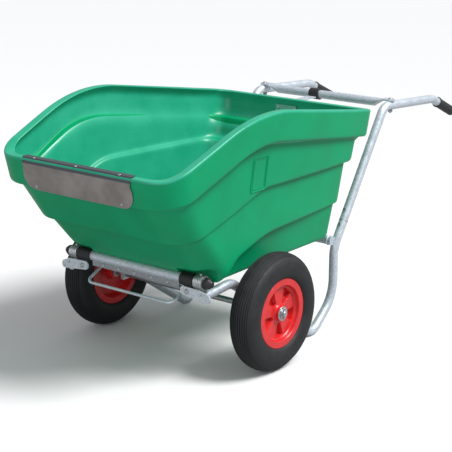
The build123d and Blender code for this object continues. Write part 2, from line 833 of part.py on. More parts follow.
def wheel_centre():
    """Moulded wheel centre: barrel with two flanges, pocketed disc and hub."""
    reach = rim_half_width
    inside = bead_radius - gap - barrel_wall
    barrel = Pos(0, (bead_radius - gap + inside) / 2) * Rectangle(2 * reach, barrel_wall)
    section = barrel
    for side in (-1, 1):
        flange = Pos(side * (reach - rim_flange / 2), (inside + rim_flange_radius) / 2)
        section += flange * Rectangle(rim_flange, rim_flange_radius - inside)
    disc = Pos((disc_inner + disc_outer) / 2, inside / 2 + 5)
    disc = disc * Rectangle(disc_outer - disc_inner, inside)
    hub_mid = (hub_outer - hub_inner) / 2
    hub = Pos(hub_mid, hub_radius / 2) * Rectangle(hub_outer + hub_inner, hub_radius)
    section += disc + hub
    bore = axle_radius + running + bush_wall
    section -= Rectangle(200, 2 * bore)
    body = spun(section)
    for n in range(spokes):
        body -= Rot(0, 360 * n / spokes, 0) * spoke_pocket(disc_inner + 6, disc_outer + 1)
    return body - valve_hole()


def spoke_pocket(low, high):
    """Tapered pocket between two spokes, sunk into the disc's outer face."""
    near, far = hub_radius + 16, bead_radius - barrel_wall - 9
    narrow, broad = 11.0, 25.0
    corners = [(-narrow, near), (narrow, near), (broad, far), (-broad, far)]
    face = make_face(Polyline(*corners, close=True))
    face = fillet(face.vertices(), 4)
    return Pos(0, high, 0) * extrude(Plane.XZ * face, high - low)


def hub_bushes():
    """Two plain bushes pressed into the hub."""
    outer = axle_radius + running + bush_wall
    rings = []
    for start in (-hub_inner, hub_outer - bush_length):
        ring = along_y(outer, start, start + bush_length)
        rings.append(ring - along_y(axle_radius + running, start, start + bush_length))
    return rings


def valve_hole():
    """Hole in the barrel for the valve, leaning outwards."""
    return Rot(0, valve_turn, 0) * rod((0, valve_y, 80), (0, valve_y, bead_radius + 20), valve_radius)


def valve():
    """Tyre valve, standing in from the barrel towards the hub."""
    inside = bead_radius - barrel_wall
    stem = rod((0, valve_y, inside - 22), (0, valve_y, bead_radius + 6), valve_radius)
    cap = rod((0, valve_y, inside - 32), (0, valve_y, inside - 20), valve_radius + 1.2)
    return Rot(0, valve_turn, 0) * (stem + cap)


def on_wheel(solid):
    """Put a wheel piece in its place at the left."""
    return Pos(0, track / 2, axle_z) * solid


def axle_washers():
    """Outer and inner washer of the left wheel."""
    outer = track / 2 + hub_outer + gap
    inner = track / 2 - hub_inner - gap - washer_thick
    rings = []
    for start in (outer, inner):
        ring = along_y(washer_radius, start, start + washer_thick, 0, axle_z)
        rings.append(ring - along_y(axle_radius, start, start + washer_thick, 0, axle_z))
    return rings


def pin_rows():
    """The y of the outer and inner split pins at the left."""
    outer = track / 2 + hub_outer + gap + washer_thick + split_pin_radius + 0.2
    inner = track / 2 - hub_inner - gap - washer_thick - split_pin_radius - 0.2
    return (outer, inner)


def split_pin(y):
    """Split pin through the axle, with its eye on top."""
    shank = rod((0, y, axle_z - axle_radius - 7), (0, y, axle_z + axle_radius + 3), split_pin_radius)
    eye = Pos(0, y, axle_z + axle_radius + 5.4) * (Rot(90, 0, 0) * Torus(3.4, split_pin_radius))
    return shank + eye


def axle():
    """Fixed axle with its split pin holes."""
    end = pin_rows()[0] + 5
    bar = along_y(axle_radius, -end, end, 0, axle_z)
    for y in pin_rows():
        for hole in pair(rod((0, y, axle_z - 15), (0, y, axle_z + 15), split_pin_radius + 0.05)):
            bar -= hole
    return chamfer(bar.edges().group_by(Axis.Y)[0] + bar.edges().group_by(Axis.Y)[-1], 1.2)


# ---------------------------------------------------------------- the nodes
save("tub", tub())
save("wear_plate", wear_plate())
save("wear_plate_screws", *[place * pan_screw(2.6, rivet_radius, 5.0, 2.2)
                            for place in wear_screw_places()])
save("hinge_tube", hinge_tube())
save("hinge_strip", hinge_strip())
save("hinge_strip_screws", *[strip_screw(y) for y in strip_rows()])
both("hinge_bush", hinge_bush())
both("hinge_collar", hinge_collar())
save("collar_screws", *pair(collar_screw()))
both("hinge_cap", hinge_cap())
both("hinge_plate", hinge_plate())
save("hinge_plate_bolts", *pair(plate_bolt()))
save("hinge_plate_nuts", *pair(plate_nut()))
both("side_tube", side_tube())
both("upper_leg", upper_leg())
save("splice_bolts", *[solid for z in splice_bolt_rows() for solid in pair(splice_bolt(z))])
save("rear_cross_member", rear_cross_member())
save("top_cross_tube", top_cross_tube())
save("top_bolts", *pair(top_bolt()))
save("top_nuts", *pair(top_nut()))
both("handle", handle())
both("grip", grip())
both("axle_saddle", axle_saddle())
save("axle", axle())
save("axle_washers", *[solid for ring in axle_washers() for solid in pair(ring)])
save("split_pins", *[solid for y in pin_rows() for solid in pair(split_pin(y))])
save("catch_sleeve", catch_sleeve())
save("catch_bar", catch_bar())
save("catch_plate", catch_plate())
save("catch_screws", *[catch_screw(y) for y in catch_screw_rows()])
save("front_bar", front_bar())
save("front_bar_clips", *pair(bar_clip()))
save("front_bar_clip_screws", *[solid for screw in clip_screws() for solid in pair(screw)])
both("tyre", on_wheel(tyre()))
both("inner_tube", on_wheel(inner_tube()))
both("wheel_centre", on_wheel(wheel_centre()))
both("valve", on_wheel(valve()))
for side, flip in (("left", False), ("right", True)):
    rings = [on_wheel(ring) for ring in hub_bushes()]
    if flip:
        rings = [mirror(ring, Plane.XZ) for ring in rings]
    save(f"hub_bushes_{side}", *rings)

whole = Compound(children=list(made.values())).bounding_box()
print("size", whole.size, "from", whole.min, "to", whole.max)
print("foot", [tuple(round(v, 1) for v in p) for p in side_points()], "top", top_corner(), top_bolt_x())
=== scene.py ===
# %% [markdown]
# # A two-wheeled tipping barrow
# The barrow has a stepped plastic tub, a bent tube frame, two pneumatic wheels and a handful
# of small hardware. The mechanical parts come ready made from the frame file, so what is left
# is to give the moulded and rubber pieces, the tubes beside the wheels and a few small rings
# their true shapes, and every surface its finish.

# %% Load the frame
import json
import math

import bmesh
import bpy
import numpy as np
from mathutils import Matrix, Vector


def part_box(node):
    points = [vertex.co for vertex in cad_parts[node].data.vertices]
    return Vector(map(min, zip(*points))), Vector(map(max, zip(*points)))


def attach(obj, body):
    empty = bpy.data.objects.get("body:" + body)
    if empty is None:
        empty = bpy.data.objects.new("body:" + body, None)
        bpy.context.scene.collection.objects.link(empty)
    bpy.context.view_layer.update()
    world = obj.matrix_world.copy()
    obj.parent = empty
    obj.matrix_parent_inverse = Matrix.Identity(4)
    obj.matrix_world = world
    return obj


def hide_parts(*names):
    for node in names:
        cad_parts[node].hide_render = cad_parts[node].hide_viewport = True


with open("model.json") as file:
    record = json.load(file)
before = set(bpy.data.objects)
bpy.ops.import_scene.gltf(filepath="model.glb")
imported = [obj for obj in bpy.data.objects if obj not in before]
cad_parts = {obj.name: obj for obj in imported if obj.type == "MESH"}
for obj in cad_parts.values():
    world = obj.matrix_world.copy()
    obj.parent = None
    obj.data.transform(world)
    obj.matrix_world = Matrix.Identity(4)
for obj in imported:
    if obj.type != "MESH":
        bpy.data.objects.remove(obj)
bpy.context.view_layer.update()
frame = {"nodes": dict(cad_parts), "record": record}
nodes = frame["nodes"]

# %% [markdown]
# Millimetres read better than metres for sheet metal and mouldings. All the shape functions
# below work in millimetres about a point on the ground under the axle, and one helper turns
# their arrays into a mesh in the frame's metres.

# %% Where the axle stands
low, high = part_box("axle")
axle_x = 500 * (low.x + high.x)
axle_z = 500 * (low.z + high.z)
print("axle at", round(axle_x, 1), round(axle_z, 1))


# %% From arrays to a mesh
def sheet_faces(rows, columns, wrap_rows=False, wrap_columns=False):
    """Four-cornered faces of a rows by columns grid; a wrapped side joins last to first."""
    down = np.arange(rows if wrap_rows else rows - 1)
    across = np.arange(columns if wrap_columns else columns - 1)
    a = down[:, None] * columns + across
    b = down[:, None] * columns + (across + 1) % columns
    c = ((down + 1) % rows)[:, None] * columns + (across + 1) % columns
    d = ((down + 1) % rows)[:, None] * columns + across
    return np.stack([a, b, c, d], axis=-1).reshape(-1, 4)


def piece(name, points, faces, body, slot, material, sharp=40, worn_and_sheen=0, worn_and_sheen_material=None):
    """A named mesh from points in millimetres about the axle, closed, welded and facing out.

    The first faces, as many as the count says, take the second material, paler for wear and for painted
    sheen."""
    metres = (points.reshape(-1, 3) + np.array([axle_x, 0, 0])) / 1000
    mesh = bpy.data.meshes.new(name)
    mesh.from_pydata(metres.tolist(), [], faces.tolist())
    mesh.polygons.foreach_set("material_index", (np.arange(len(faces)) < worn_and_sheen).astype(np.int32))
    made = bmesh.new()
    made.from_mesh(mesh)
    bmesh.ops.remove_doubles(made, verts=made.verts, dist=2e-6)
    bmesh.ops.dissolve_degenerate(made, edges=made.edges, dist=2e-6)
    bmesh.ops.recalc_face_normals(made, faces=made.faces)
    made.to_mesh(mesh)
    made.free()
    mesh.shade_smooth()
    mesh.set_sharp_from_angle(angle=math.radians(sharp))
    mesh.materials.append(material)
    if worn_and_sheen:
        mesh.materials.append(worn_and_sheen_material)
    body_piece = bpy.data.objects.new(name, mesh)
    bpy.context.scene.collection.objects.link(body_piece)
    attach(body_piece, body)
    return body_piece


# %% [markdown]
# ## Finishes
# Real surfaces are never one flat colour. Zinc shows crystals, moulded plastic a fine orange
# peel, rubber a dusty bloom. Several finishes share the same kinds of unevenness, so these are
# made once as node groups that hand over masks and heights, and each material uses them with
# its own numbers.

# %% A start for the node groups
def new_group(name, inputs, outputs):
    """An empty node group with named sockets: inputs with their values, then outputs."""
    group = bpy.data.node_groups.new(name, "ShaderNodeTree")
    for label, kind, value in inputs:
        socket = group.interface.new_socket(name=label, in_out="INPUT", socket_type=kind)
        socket.default_value = value
    for label, kind in outputs:
        group.interface.new_socket(name=label, in_out="OUTPUT", socket_type=kind)
    return group, group.nodes.new("NodeGroupInput"), group.nodes.new("NodeGroupOutput")


def wire(tree, *pairs):
    """Join pairs of sockets."""
    for source, target in pairs:
        tree.links.new(source, target)


FLOAT, VECTOR = "NodeSocketFloat", "NodeSocketVector"


# %% [markdown]
# Mottle is slow, cloudy unevenness. A noise texture on Object coordinates stays put on the
# piece however it moves, and a ramp keeps the middle greys apart.

# %% Mottle
mottle, inside, outside = new_group(
    "mottle", [("Size", FLOAT, 20.0), ("Detail", FLOAT, 4.0), ("From", FLOAT, 0.35), ("To", FLOAT, 0.65)],
    [("Mask", FLOAT)])
where = mottle.nodes.new("ShaderNodeTexCoord")
cloud = mottle.nodes.new("ShaderNodeTexNoise")
spread = mottle.nodes.new("ShaderNodeMapRange")
wire(mottle, (where.outputs["Object"], cloud.inputs["Vector"]),
     (inside.outputs["Size"], cloud.inputs["Scale"]),
     (inside.outputs["Detail"], cloud.inputs["Detail"]), (cloud.outputs["Fac"], spread.inputs["Value"]),
     (inside.outputs["From"], spread.inputs["From Min"]), (inside.outputs["To"], spread.inputs["From Max"]),
     (spread.outputs["Result"], outside.inputs["Mask"]))
print("group", mottle.name)

# %% [markdown]
# Hot-dip zinc freezes into flat crystals a few millimetres across. A Voronoi texture gives each
# cell its own brightness, which is what the eye reads as spangle. A little noise added to the
# coordinates keeps the crystals' edges from being straight.

# %% Spangle
spangle, inside, outside = new_group(
    "spangle", [("Size", FLOAT, 160.0)], [("Mask", FLOAT), ("Height", FLOAT)])
where = spangle.nodes.new("ShaderNodeTexCoord")
bend = spangle.nodes.new("ShaderNodeTexNoise")
bend.inputs["Scale"].default_value = 60.0
shift = spangle.nodes.new("ShaderNodeVectorMath")
shift.operation = "MULTIPLY_ADD"
shift.inputs[1].default_value = (0.01, 0.01, 0.01)
cells = spangle.nodes.new("ShaderNodeTexVoronoi")
grey = spangle.nodes.new("ShaderNodeSeparateColor")
wire(spangle, (where.outputs["Object"], bend.inputs["Vector"]), (bend.outputs["Color"], shift.inputs[0]),
     (where.outputs["Object"], shift.inputs[2]), (shift.outputs["Vector"], cells.inputs["Vector"]),
     (inside.outputs["Size"], cells.inputs["Scale"]), (cells.outputs["Color"], grey.inputs["Color"]),
     (grey.outputs["Red"], outside.inputs["Mask"]), (grey.outputs["Green"], outside.inputs["Height"]))
print("group", spangle.name)

# %% [markdown]
# Brushed or rolled metal carries fine scratches in one direction. Stretching the coordinates
# before the noise draws the noise out into hairlines.

# %% Hairlines
hairlines, inside, outside = new_group(
    "hairlines", [("Stretch", VECTOR, (4.0, 4.0, 400.0)), ("From", FLOAT, 0.4), ("To", FLOAT, 0.6)],
    [("Mask", FLOAT)])
where = hairlines.nodes.new("ShaderNodeTexCoord")
pull = hairlines.nodes.new("ShaderNodeVectorMath")
pull.operation = "MULTIPLY"
cloud = hairlines.nodes.new("ShaderNodeTexNoise")
cloud.inputs["Scale"].default_value = 1.0
cloud.inputs["Detail"].default_value = 6.0
spread = hairlines.nodes.new("ShaderNodeMapRange")
wire(hairlines, (where.outputs["Object"], pull.inputs[0]), (inside.outputs["Stretch"], pull.inputs[1]),
     (pull.outputs["Vector"], cloud.inputs["Vector"]), (cloud.outputs["Fac"], spread.inputs["Value"]),
     (inside.outputs["From"], spread.inputs["From Min"]), (inside.outputs["To"], spread.inputs["From Max"]),
     (spread.outputs["Result"], outside.inputs["Mask"]))
print("group", hairlines.name)


# %% [markdown]
# Every finish below starts from the same short recipe: a Principled shader, a colour that
# drifts between two tones under one mask, a roughness that drifts under it too, and a small
# bump. What changes is which mask drives it and how strongly.

# %% The recipe
def finish(name, metallic, coat=0.0):
    """A material with its Principled shader, both handed back for wiring."""
    material = bpy.data.materials.new(name)
    material.use_nodes = True
    shader = material.node_tree.nodes["Principled BSDF"]
    shader.inputs["Metallic"].default_value = metallic
    shader.inputs["Coat Weight"].default_value = coat
    return material, material.node_tree, shader


def use(tree, group, **values):
    """Place a node group in a material with its own numbers."""
    node = tree.nodes.new("ShaderNodeGroup")
    node.node_tree = group
    for label, value in values.items():
        node.inputs[label].default_value = value
    return node


def two_tones(tree, mask, first, second):
    """A colour between two tones, by a mask."""
    mix = tree.nodes.new("ShaderNodeMix")
    mix.data_type = "RGBA"
    mix.inputs["A"].default_value = (*first, 1)
    mix.inputs["B"].default_value = (*second, 1)
    tree.links.new(mask, mix.inputs["Factor"])
    return mix.outputs["Result"]


def span(tree, mask, first, second):
    """A number between two values, by a mask."""
    node = tree.nodes.new("ShaderNodeMapRange")
    node.inputs["To Min"].default_value = first
    node.inputs["To Max"].default_value = second
    tree.links.new(mask, node.inputs["Value"])
    return node.outputs["Result"]


def relief(tree, height, shader, strength, distance):
    """A height sent through a bump to the shader's normal."""
    bump = tree.nodes.new("ShaderNodeBump")
    bump.inputs["Strength"].default_value = strength
    bump.inputs["Distance"].default_value = distance
    wire(tree, (height, bump.inputs["Height"]), (bump.outputs["Normal"], shader.inputs["Normal"]))


# %% [markdown]
# The tub is rotation moulded polyethylene: a strong green that is slightly waxy, with an orange
# peel skin, cloudy gloss and some pale scuffing. The inside is made paler than the outside, partly
# for wear and partly as painted sheen of the sky, so the same recipe is used twice with its own tones.

# %% Green moulded plastic
def moulded_green(name, deep, light, scuffed, scuff_share, dull):
    """Green polyethylene: a faint cloudiness, pale scuffs and an orange peel."""
    material, tree, shader = finish(name, 0.0)
    cloud = use(tree, mottle, Size=9.0, Detail=4.0, From=0.35, To=0.65)
    scuff = use(tree, mottle, Size=70.0, Detail=6.0, From=0.6, To=0.8)
    tone = two_tones(tree, cloud.outputs["Mask"], deep, light)
    pale = tree.nodes.new("ShaderNodeMix")
    pale.data_type = "RGBA"
    pale.inputs["B"].default_value = (*scuffed, 1)
    faint = span(tree, scuff.outputs["Mask"], 0.0, scuff_share)
    wire(tree, (tone, pale.inputs["A"]), (faint, pale.inputs["Factor"]),
         (pale.outputs["Result"], shader.inputs["Base Color"]),
         (span(tree, cloud.outputs["Mask"], dull, dull + 0.1), shader.inputs["Roughness"]))
    peel = use(tree, mottle, Size=420.0, Detail=2.0, From=0.2, To=0.8)
    relief(tree, peel.outputs["Mask"], shader, 0.12, 0.0004)
    print("finish", material.name)
    return material, shader


green, shader = moulded_green("moulded_green", (0.0, 0.30, 0.122), (0.0, 0.335, 0.140),
                              (0.004, 0.32, 0.15), 0.3, 0.32)
shader.inputs["Specular IOR Level"].default_value = 0.2
# the inside's paler tones are partly wear and partly painted sheen of the sky
green_worn_and_sheen, shader = moulded_green("moulded_green_inside", (0.012, 0.325, 0.185), (0.022, 0.37, 0.22),
                                   (0.05, 0.42, 0.28), 0.5, 0.3)
shader.inputs["Specular IOR Level"].default_value = 0.45

# %% [markdown]
# Hot-dip galvanised tube and strip: pale blue-grey, crystal spangle, a little uneven in gloss.

# %% Galvanised steel
galvanised, tree, shader = finish("galvanised_steel", 0.5)
crystals = use(tree, spangle, Size=300.0)
cloud = use(tree, mottle, Size=30.0)
tone = two_tones(tree, crystals.outputs["Mask"], (0.50, 0.565, 0.63), (0.74, 0.80, 0.87))
wire(tree, (tone, shader.inputs["Base Color"]),
     (span(tree, cloud.outputs["Mask"], 0.3, 0.48), shader.inputs["Roughness"]))
relief(tree, crystals.outputs["Height"], shader, 0.06, 0.0002)
print("finish", galvanised.name)

# %% [markdown]
# Bolts, nuts and pins are plated: greyer and more metallic than dipped zinc, without crystals.
# A fine mottle in colour and gloss is enough at their size.

# %% Zinc plated hardware
plated, tree, shader = finish("plated_hardware", 0.85)
grain = use(tree, mottle, Size=260.0, Detail=6.0)
tone = two_tones(tree, grain.outputs["Mask"], (0.38, 0.40, 0.42), (0.56, 0.58, 0.60))
wire(tree, (tone, shader.inputs["Base Color"]),
     (span(tree, grain.outputs["Mask"], 0.28, 0.45), shader.inputs["Roughness"]))
relief(tree, grain.outputs["Mask"], shader, 0.1, 0.0001)
print("finish", plated.name)

# %% [markdown]
# The lip's sheet is rolled steel with hairlines along its length. Its folded strip faces the
# sky, and a mask by height paints it darker and bluer than the hanging face: a painted reflection of the sky.

# %% Rolled lip sheet
rolled, tree, shader = finish("rolled_sheet", 0.6)
lines = use(tree, hairlines, Stretch=(300.0, 3.0, 300.0), From=0.3, To=0.7)
cloud = use(tree, mottle, Size=14.0, Detail=6.0)
tone = two_tones(tree, cloud.outputs["Mask"], (0.235, 0.218, 0.205), (0.33, 0.31, 0.295))
crease_low, crease_high = 0.711, 0.7135      # the fold starts between these heights, in metres
where = tree.nodes.new("ShaderNodeTexCoord")
axes = tree.nodes.new("ShaderNodeSeparateXYZ")
reflection_band = tree.nodes.new("ShaderNodeMapRange")
reflection_band.inputs["From Min"].default_value = crease_low
reflection_band.inputs["From Max"].default_value = crease_high
# the folded strip's darker, bluer colour is a painted reflection of the sky
painted_sky_reflection = tree.nodes.new("ShaderNodeMix")
painted_sky_reflection.data_type = "RGBA"
painted_sky_reflection.inputs["B"].default_value = (0.105, 0.118, 0.135, 1)
wire(tree, (where.outputs["Object"], axes.inputs["Vector"]), (axes.outputs["Z"], reflection_band.inputs["Value"]),
     (reflection_band.outputs["Result"], painted_sky_reflection.inputs["Factor"]), (tone, painted_sky_reflection.inputs["A"]),
     (painted_sky_reflection.outputs["Result"], shader.inputs["Base Color"]),
     (span(tree, lines.outputs["Mask"], 0.36, 0.55), shader.inputs["Roughness"]))
relief(tree, lines.outputs["Mask"], shader, 0.12, 0.0002)
print("finish", rolled.name)

# %% [markdown]
# Tyre rubber is nearly black with a blue cast and a dusty bloom in random patches.

# %% Tyre rubber
rubber, tree, shader = finish("tyre_rubber", 0.0)
dust = use(tree, mottle, Size=38.0, Detail=7.0)
tone = two_tones(tree, dust.outputs["Mask"], (0.006, 0.007, 0.008), (0.015, 0.017, 0.020))
wire(tree, (tone, shader.inputs["Base Color"]),
     (span(tree, dust.outputs["Mask"], 0.58, 0.78), shader.inputs["Roughness"]))
pores = use(tree, mottle, Size=700.0, Detail=3.0, From=0.3, To=0.7)
relief(tree, pores.outputs["Mask"], shader, 0.2, 0.0003)
print("finish", rubber.name)

# %% [markdown]
# The wheel centre is glossier than the tub, with a thin clear coat over a warm red.

# %% Red wheel centre
red, tree, shader = finish("wheel_red", 0.0, 0.2)
cloud = use(tree, mottle, Size=26.0, Detail=5.0)
tone = two_tones(tree, cloud.outputs["Mask"], (0.60, 0.013, 0.016), (0.72, 0.024, 0.026))
wire(tree, (tone, shader.inputs["Base Color"]),
     (span(tree, cloud.outputs["Mask"], 0.3, 0.42), shader.inputs["Roughness"]))
peel = use(tree, mottle, Size=500.0, Detail=2.0)
relief(tree, peel.outputs["Mask"], shader, 0.08, 0.0002)
print("finish", red.name)

# %% [markdown]
# What is left are small pieces of one even stuff each: caps, grips, inner tubes, bushes and
# valves. Two close tones and a fine grain serve them all, so one function makes each finish
# from its tones, its range of roughness, the grain's size and the height of its bump.


# %% Plain plastics, rubbers and brass
def plain(name, tones, rough, size, strength, metallic=0.0):
    """Even moulded or turned stuff: two close tones, uneven gloss and a fine grain."""
    material, tree, shader = finish(name, metallic)
    grain = use(tree, mottle, Size=size, Detail=4.0)
    tone = two_tones(tree, grain.outputs["Mask"], *tones)
    wire(tree, (tone, shader.inputs["Base Color"]),
         (span(tree, grain.outputs["Mask"], *rough), shader.inputs["Roughness"]))
    relief(tree, grain.outputs["Mask"], shader, strength, 0.0003)
    return material


black_plastic = plain("black_plastic", ((0.010, 0.010, 0.012), (0.022, 0.022, 0.025)),
                      (0.32, 0.5), 300.0, 0.15)
grip_rubber = plain("grip_rubber", ((0.012, 0.012, 0.013), (0.026, 0.026, 0.028)),
                    (0.5, 0.7), 450.0, 0.3)
tube_rubber = plain("tube_rubber", ((0.014, 0.014, 0.015), (0.024, 0.024, 0.026)),
                    (0.5, 0.65), 200.0, 0.1)
bush_plastic = plain("bush_plastic", ((0.55, 0.54, 0.49), (0.64, 0.63, 0.58)),
                     (0.4, 0.5), 200.0, 0.1)
brass = plain("valve_brass", ((0.55, 0.42, 0.19), (0.68, 0.53, 0.27)),
              (0.25, 0.4), 300.0, 0.1, 0.9)
print("finishes", len(bpy.data.materials))

# %% [markdown]
# The frame's nodes already have true shapes, so each only needs the finish of its slot.

# %% Dress the ready-made nodes
dressing = {"tub_plastic": green, "wear_sheet": rolled, "galvanised": galvanised,
            "zinc_hardware": plated, "black_plastic": black_plastic, "grip_rubber": grip_rubber,
            "tyre": rubber, "tube_rubber": tube_rubber, "wheel_red": red, "valve_brass": brass,
            "bush_plastic": bush_plastic}
for entry in frame["record"]["subparts"]:
    mesh = nodes[entry["node"]].data
    mesh.materials.clear()
    mesh.materials.append(dressing[entry["material_slot"]])

# %% [markdown]
# ## The tub
# On the real barrow the tub is one thick moulding. Its outside steps in three times on the way
# down, each step running along a gently bent line, and the inside follows it. Modelling the
# steps one by one would leave hard seams, so the whole skin is one grid: one direction runs
# around the outline, the other comes up the inside, over the rim, and down the outside.

# %% The tiers and the lines between them
wall, rim_wall = 7.0, 13.5            # thickness of the walls, and of the tier under the rim
rim_roll, rear_roll = 34.0, 25.0      # how far the rim rolls inwards, and at the rear end
roll_starts, roll_over = -480.0, 120.0        # where it starts to shrink, and over what length
tub_floor = 336.3
# rear end, front end, half width at the rear, middle and front, and the rear and front corner
# radius, all at a height; then how the rear, front and sides grow per millimetre upwards
tiers = [
    (730, -629.6, 531.0, 341.0, 387.0, 374.0, 60.0, 108.0, -0.155, 0.19, 0.08),
    (600, -547.0, 472.0, 323.5, 355.0, 340.0, 58.0, 108.0, -0.2, 0.667, 0.08),
    (450, -488.0, 336.0, 305.0, 333.0, 330.0, 52.0, 100.0, -0.19, 0.86, 0.06),
    (400, -465.0, 293.0, 294.0, 301.0, 304.0, 46.0, 80.0, -0.09, 0.86, 0.15),
]
# corners of each line in side view, and how long the bend at each inner corner is
rim_line = ([(-720, 762.3), (105, 890.1), (507, 728.7), (620, 728.7)], (342, 30))
step_lines = [
    ([(-720, 667), (86, 783.5), (432, 643), (620, 613)], (238, 40)),
    ([(-720, 602), (31, 620), (385, 496.5), (620, 487)], (90, 30)),
    ([(-720, 472), (-20, 455), (150, 402), (255, 262)], (111, 75)),
]


def bent_line(line, x):
    """Straight runs with soft bends: each corner adds a ramp whose foot is a parabola."""
    corners, lengths = line
    slopes = [(b[1] - a[1]) / (b[0] - a[0]) for a, b in zip(corners, corners[1:])]
    z = corners[0][1] + slopes[0] * (x - corners[0][0])
    for n, length in enumerate(lengths):
        past = x - corners[n + 1][0]
        foot = np.clip(past + length / 2, 0, length) ** 2 / (2 * length)
        z = z + (slopes[n + 1] - slopes[n]) * (foot + np.maximum(past - length / 2, 0))
    return z


# %% [markdown]
# A tier's outline is nearly a rectangle with bulging sides. It could be drawn and then divided
# into equal parts, but its points would slide round from tier to tier. Here every column has
# a fixed place, so many on the front, the corner, the side and the rear, and the columns line
# up all the way down.

# %% Round the outline
stretches = [50, 14, 84, 14, 22]      # columns on the front, corner, side, corner and rear
stretch = np.repeat(np.arange(5), stretches)
share = np.concatenate([np.arange(n) / n for n in stretches])
half_count = len(share)


def soft_corner(start, start_way, end, end_way, t):
    """A cubic curve that leaves one point and reaches another along given directions."""
    one, two = start + start_way, end - end_way
    return (start * (1 - t) ** 3 + 3 * one * t * (1 - t) ** 2
            + 3 * two * t ** 2 * (1 - t) + end * t ** 3)


def half_outline(tier, z, inset, front_inset):
    """The left half of a tier's outline, front middle to rear middle, at a height per column.

    The side is a parabola through its three half widths, the ends are straight, and a cubic
    corner joins them along both directions."""
    (at, rear, front, w_rear, w_middle, w_front, bend_rear, bend_front,
     grow_rear, grow_front, grow_side) = tiers[tier]
    up = z - at
    rear, front = rear + grow_rear * up + inset, front + grow_front * up - front_inset
    a, b, c = (w + grow_side * up - inset for w in (w_rear, w_middle, w_front))
    middle = 60.0
    bend_rear, bend_front = bend_rear - 0.6 * inset, bend_front - 0.6 * inset

    def side(x):
        """The parabola through the three half widths, as a sum of one term for each."""
        return (a * (x - middle) * (x - front) / ((rear - middle) * (rear - front))
                + b * (x - rear) * (x - front) / ((middle - rear) * (middle - front))
                + c * (x - rear) * (x - middle) / ((front - rear) * (front - middle)))

    x_front, x_rear = front - bend_front, rear + bend_rear
    y_front, y_rear = side(x_front), side(x_rear)
    lean_front = side(x_front + 1) - y_front
    lean_rear = side(x_rear + 1) - y_rear
    hold, grip = 0.55 * bend_front, 0.55 * bend_rear
    x_side = x_front + (x_rear - x_front) * share
    x = np.select([stretch == 0, stretch == 1, stretch == 2, stretch == 3], [
        front, soft_corner(front, 0, x_front, -hold, share), x_side,
        soft_corner(x_rear, -grip, rear, 0, share)], rear)
    y = np.select([stretch == 0, stretch == 1, stretch == 2, stretch == 3], [
        (y_front - bend_front) * share,
        soft_corner(y_front - bend_front, hold, y_front, -hold * lean_front, share), side(x_side),
        soft_corner(y_rear, -grip * lean_rear, y_rear - bend_rear, -grip, share)],
        (y_rear - bend_rear) * (1 - share))
    return np.stack([x, y, z + 0 * x], axis=-1)


def step_height(tier, line):
    """Where a tier's wall meets a line, found by going back and forth a few times."""
    z = np.full(half_count, 600.0)
    for _ in range(30):
        z = 0.5 * z + 0.5 * bent_line(line, half_outline(tier, z, 0, 0)[:, 0])
    return z


rim_height = step_height(0, rim_line)
steps = [np.maximum(step_height(n, line), tub_floor) for n, line in enumerate(step_lines)]
print("rim", rim_height.min().round(), rim_height.max().round())

# %% [markdown]
# The way down the wall is a chain of control rows. Rounding every corner of that chain by its
# own radius gives the moulded look, and the same function serves the outside and the inside.

# %% Round the corners of a chain of rows
def rounded(chain, radii, runs, bends=5):
    """Straight runs between control rows, with a parabola cut across each inner corner.

    A corner's cut is its radius, or less than half of the shorter run beside it; runs says how
    many rows each straight run gets, and bends how many each corner gets."""
    chain = np.array(chain)
    length = np.linalg.norm(np.diff(chain, axis=0), axis=-1)
    rows, start = [], chain[0]
    for n in range(1, len(chain) - 1):
        before, after = length[n - 1], length[n]
        cut = np.minimum(radii[n - 1], 0.46 * np.minimum(before, after))[:, None]
        entry = chain[n] + (chain[n - 1] - chain[n]) * cut / np.maximum(before, 1e-6)[:, None]
        leave = chain[n] + (chain[n + 1] - chain[n]) * cut / np.maximum(after, 1e-6)[:, None]
        k = np.arange(runs[n - 1])[:, None, None]
        t = np.arange(bends)[:, None, None] / bends
        rows += [start + (entry - start) * k / runs[n - 1],
                 entry * (1 - t) ** 2 + 2 * chain[n] * t * (1 - t) + leave * t ** 2]
        start = leave
    k = np.arange(runs[-1] + 1)[:, None, None]
    return np.concatenate([*rows, start + (chain[-1] - start) * k / runs[-1]])


# %% [markdown]
# The outside goes from the rim down over each ledge to the floor. The inside goes the same way
# a wall's thickness further in and up, after the rim's broad roll. The front leans more than
# the sides and the rear do, so its inset is larger to keep the wall as thick square to itself.

# %% The outside and the inside as two chains
def way_down(top, inset, front_inset, lift, rises):
    """Control rows from the rim to the middle of the floor, for one side of the wall.

    Each ledge runs from its upper tier to its lower one, and climbs on the way by its rise."""
    chain = [*top]
    for n in range(3):
        edge = steps[n] + lift
        ledge = edge + rises[n] * np.clip((steps[n] - tub_floor) / 20, 0, 1)
        chain.append(half_outline(n, edge, inset[n], front_inset[n]))
        chain.append(half_outline(n + 1, ledge, inset[n + 1], front_inset[n + 1]))
    floor = half_outline(3, np.full(half_count, tub_floor + lift), inset[3], front_inset[3])
    middle = np.array([-100.0, 0, tub_floor + lift])
    return chain + [floor, middle + (floor - middle) * 0.5, middle + 0 * floor]


front_wall = 1.35 * wall
roll_depth = 24.0                     # how far below the rim its roll meets the wall
rim_edge = half_outline(0, rim_height, 0, 0)
outer = way_down([rim_edge], [0, 0, 0, 0], [0, 0, 0, 0], 0.0, [7, 5, 5])
rear_share = np.clip((roll_starts - rim_edge[:, 0]) / roll_over, 0, 1)
roll = rim_roll - (rim_roll - rear_roll) * rear_share
rolled_in = [half_outline(0, rim_height, roll, roll),
             half_outline(0, rim_height - roll_depth, rim_wall, rim_wall)]
inner = way_down(rolled_in, [rim_wall, wall, wall, wall], [rim_wall] + [front_wall] * 3,
                 wall, [-24, -8, -3])
crest = (outer[0] + inner[0]) / 2
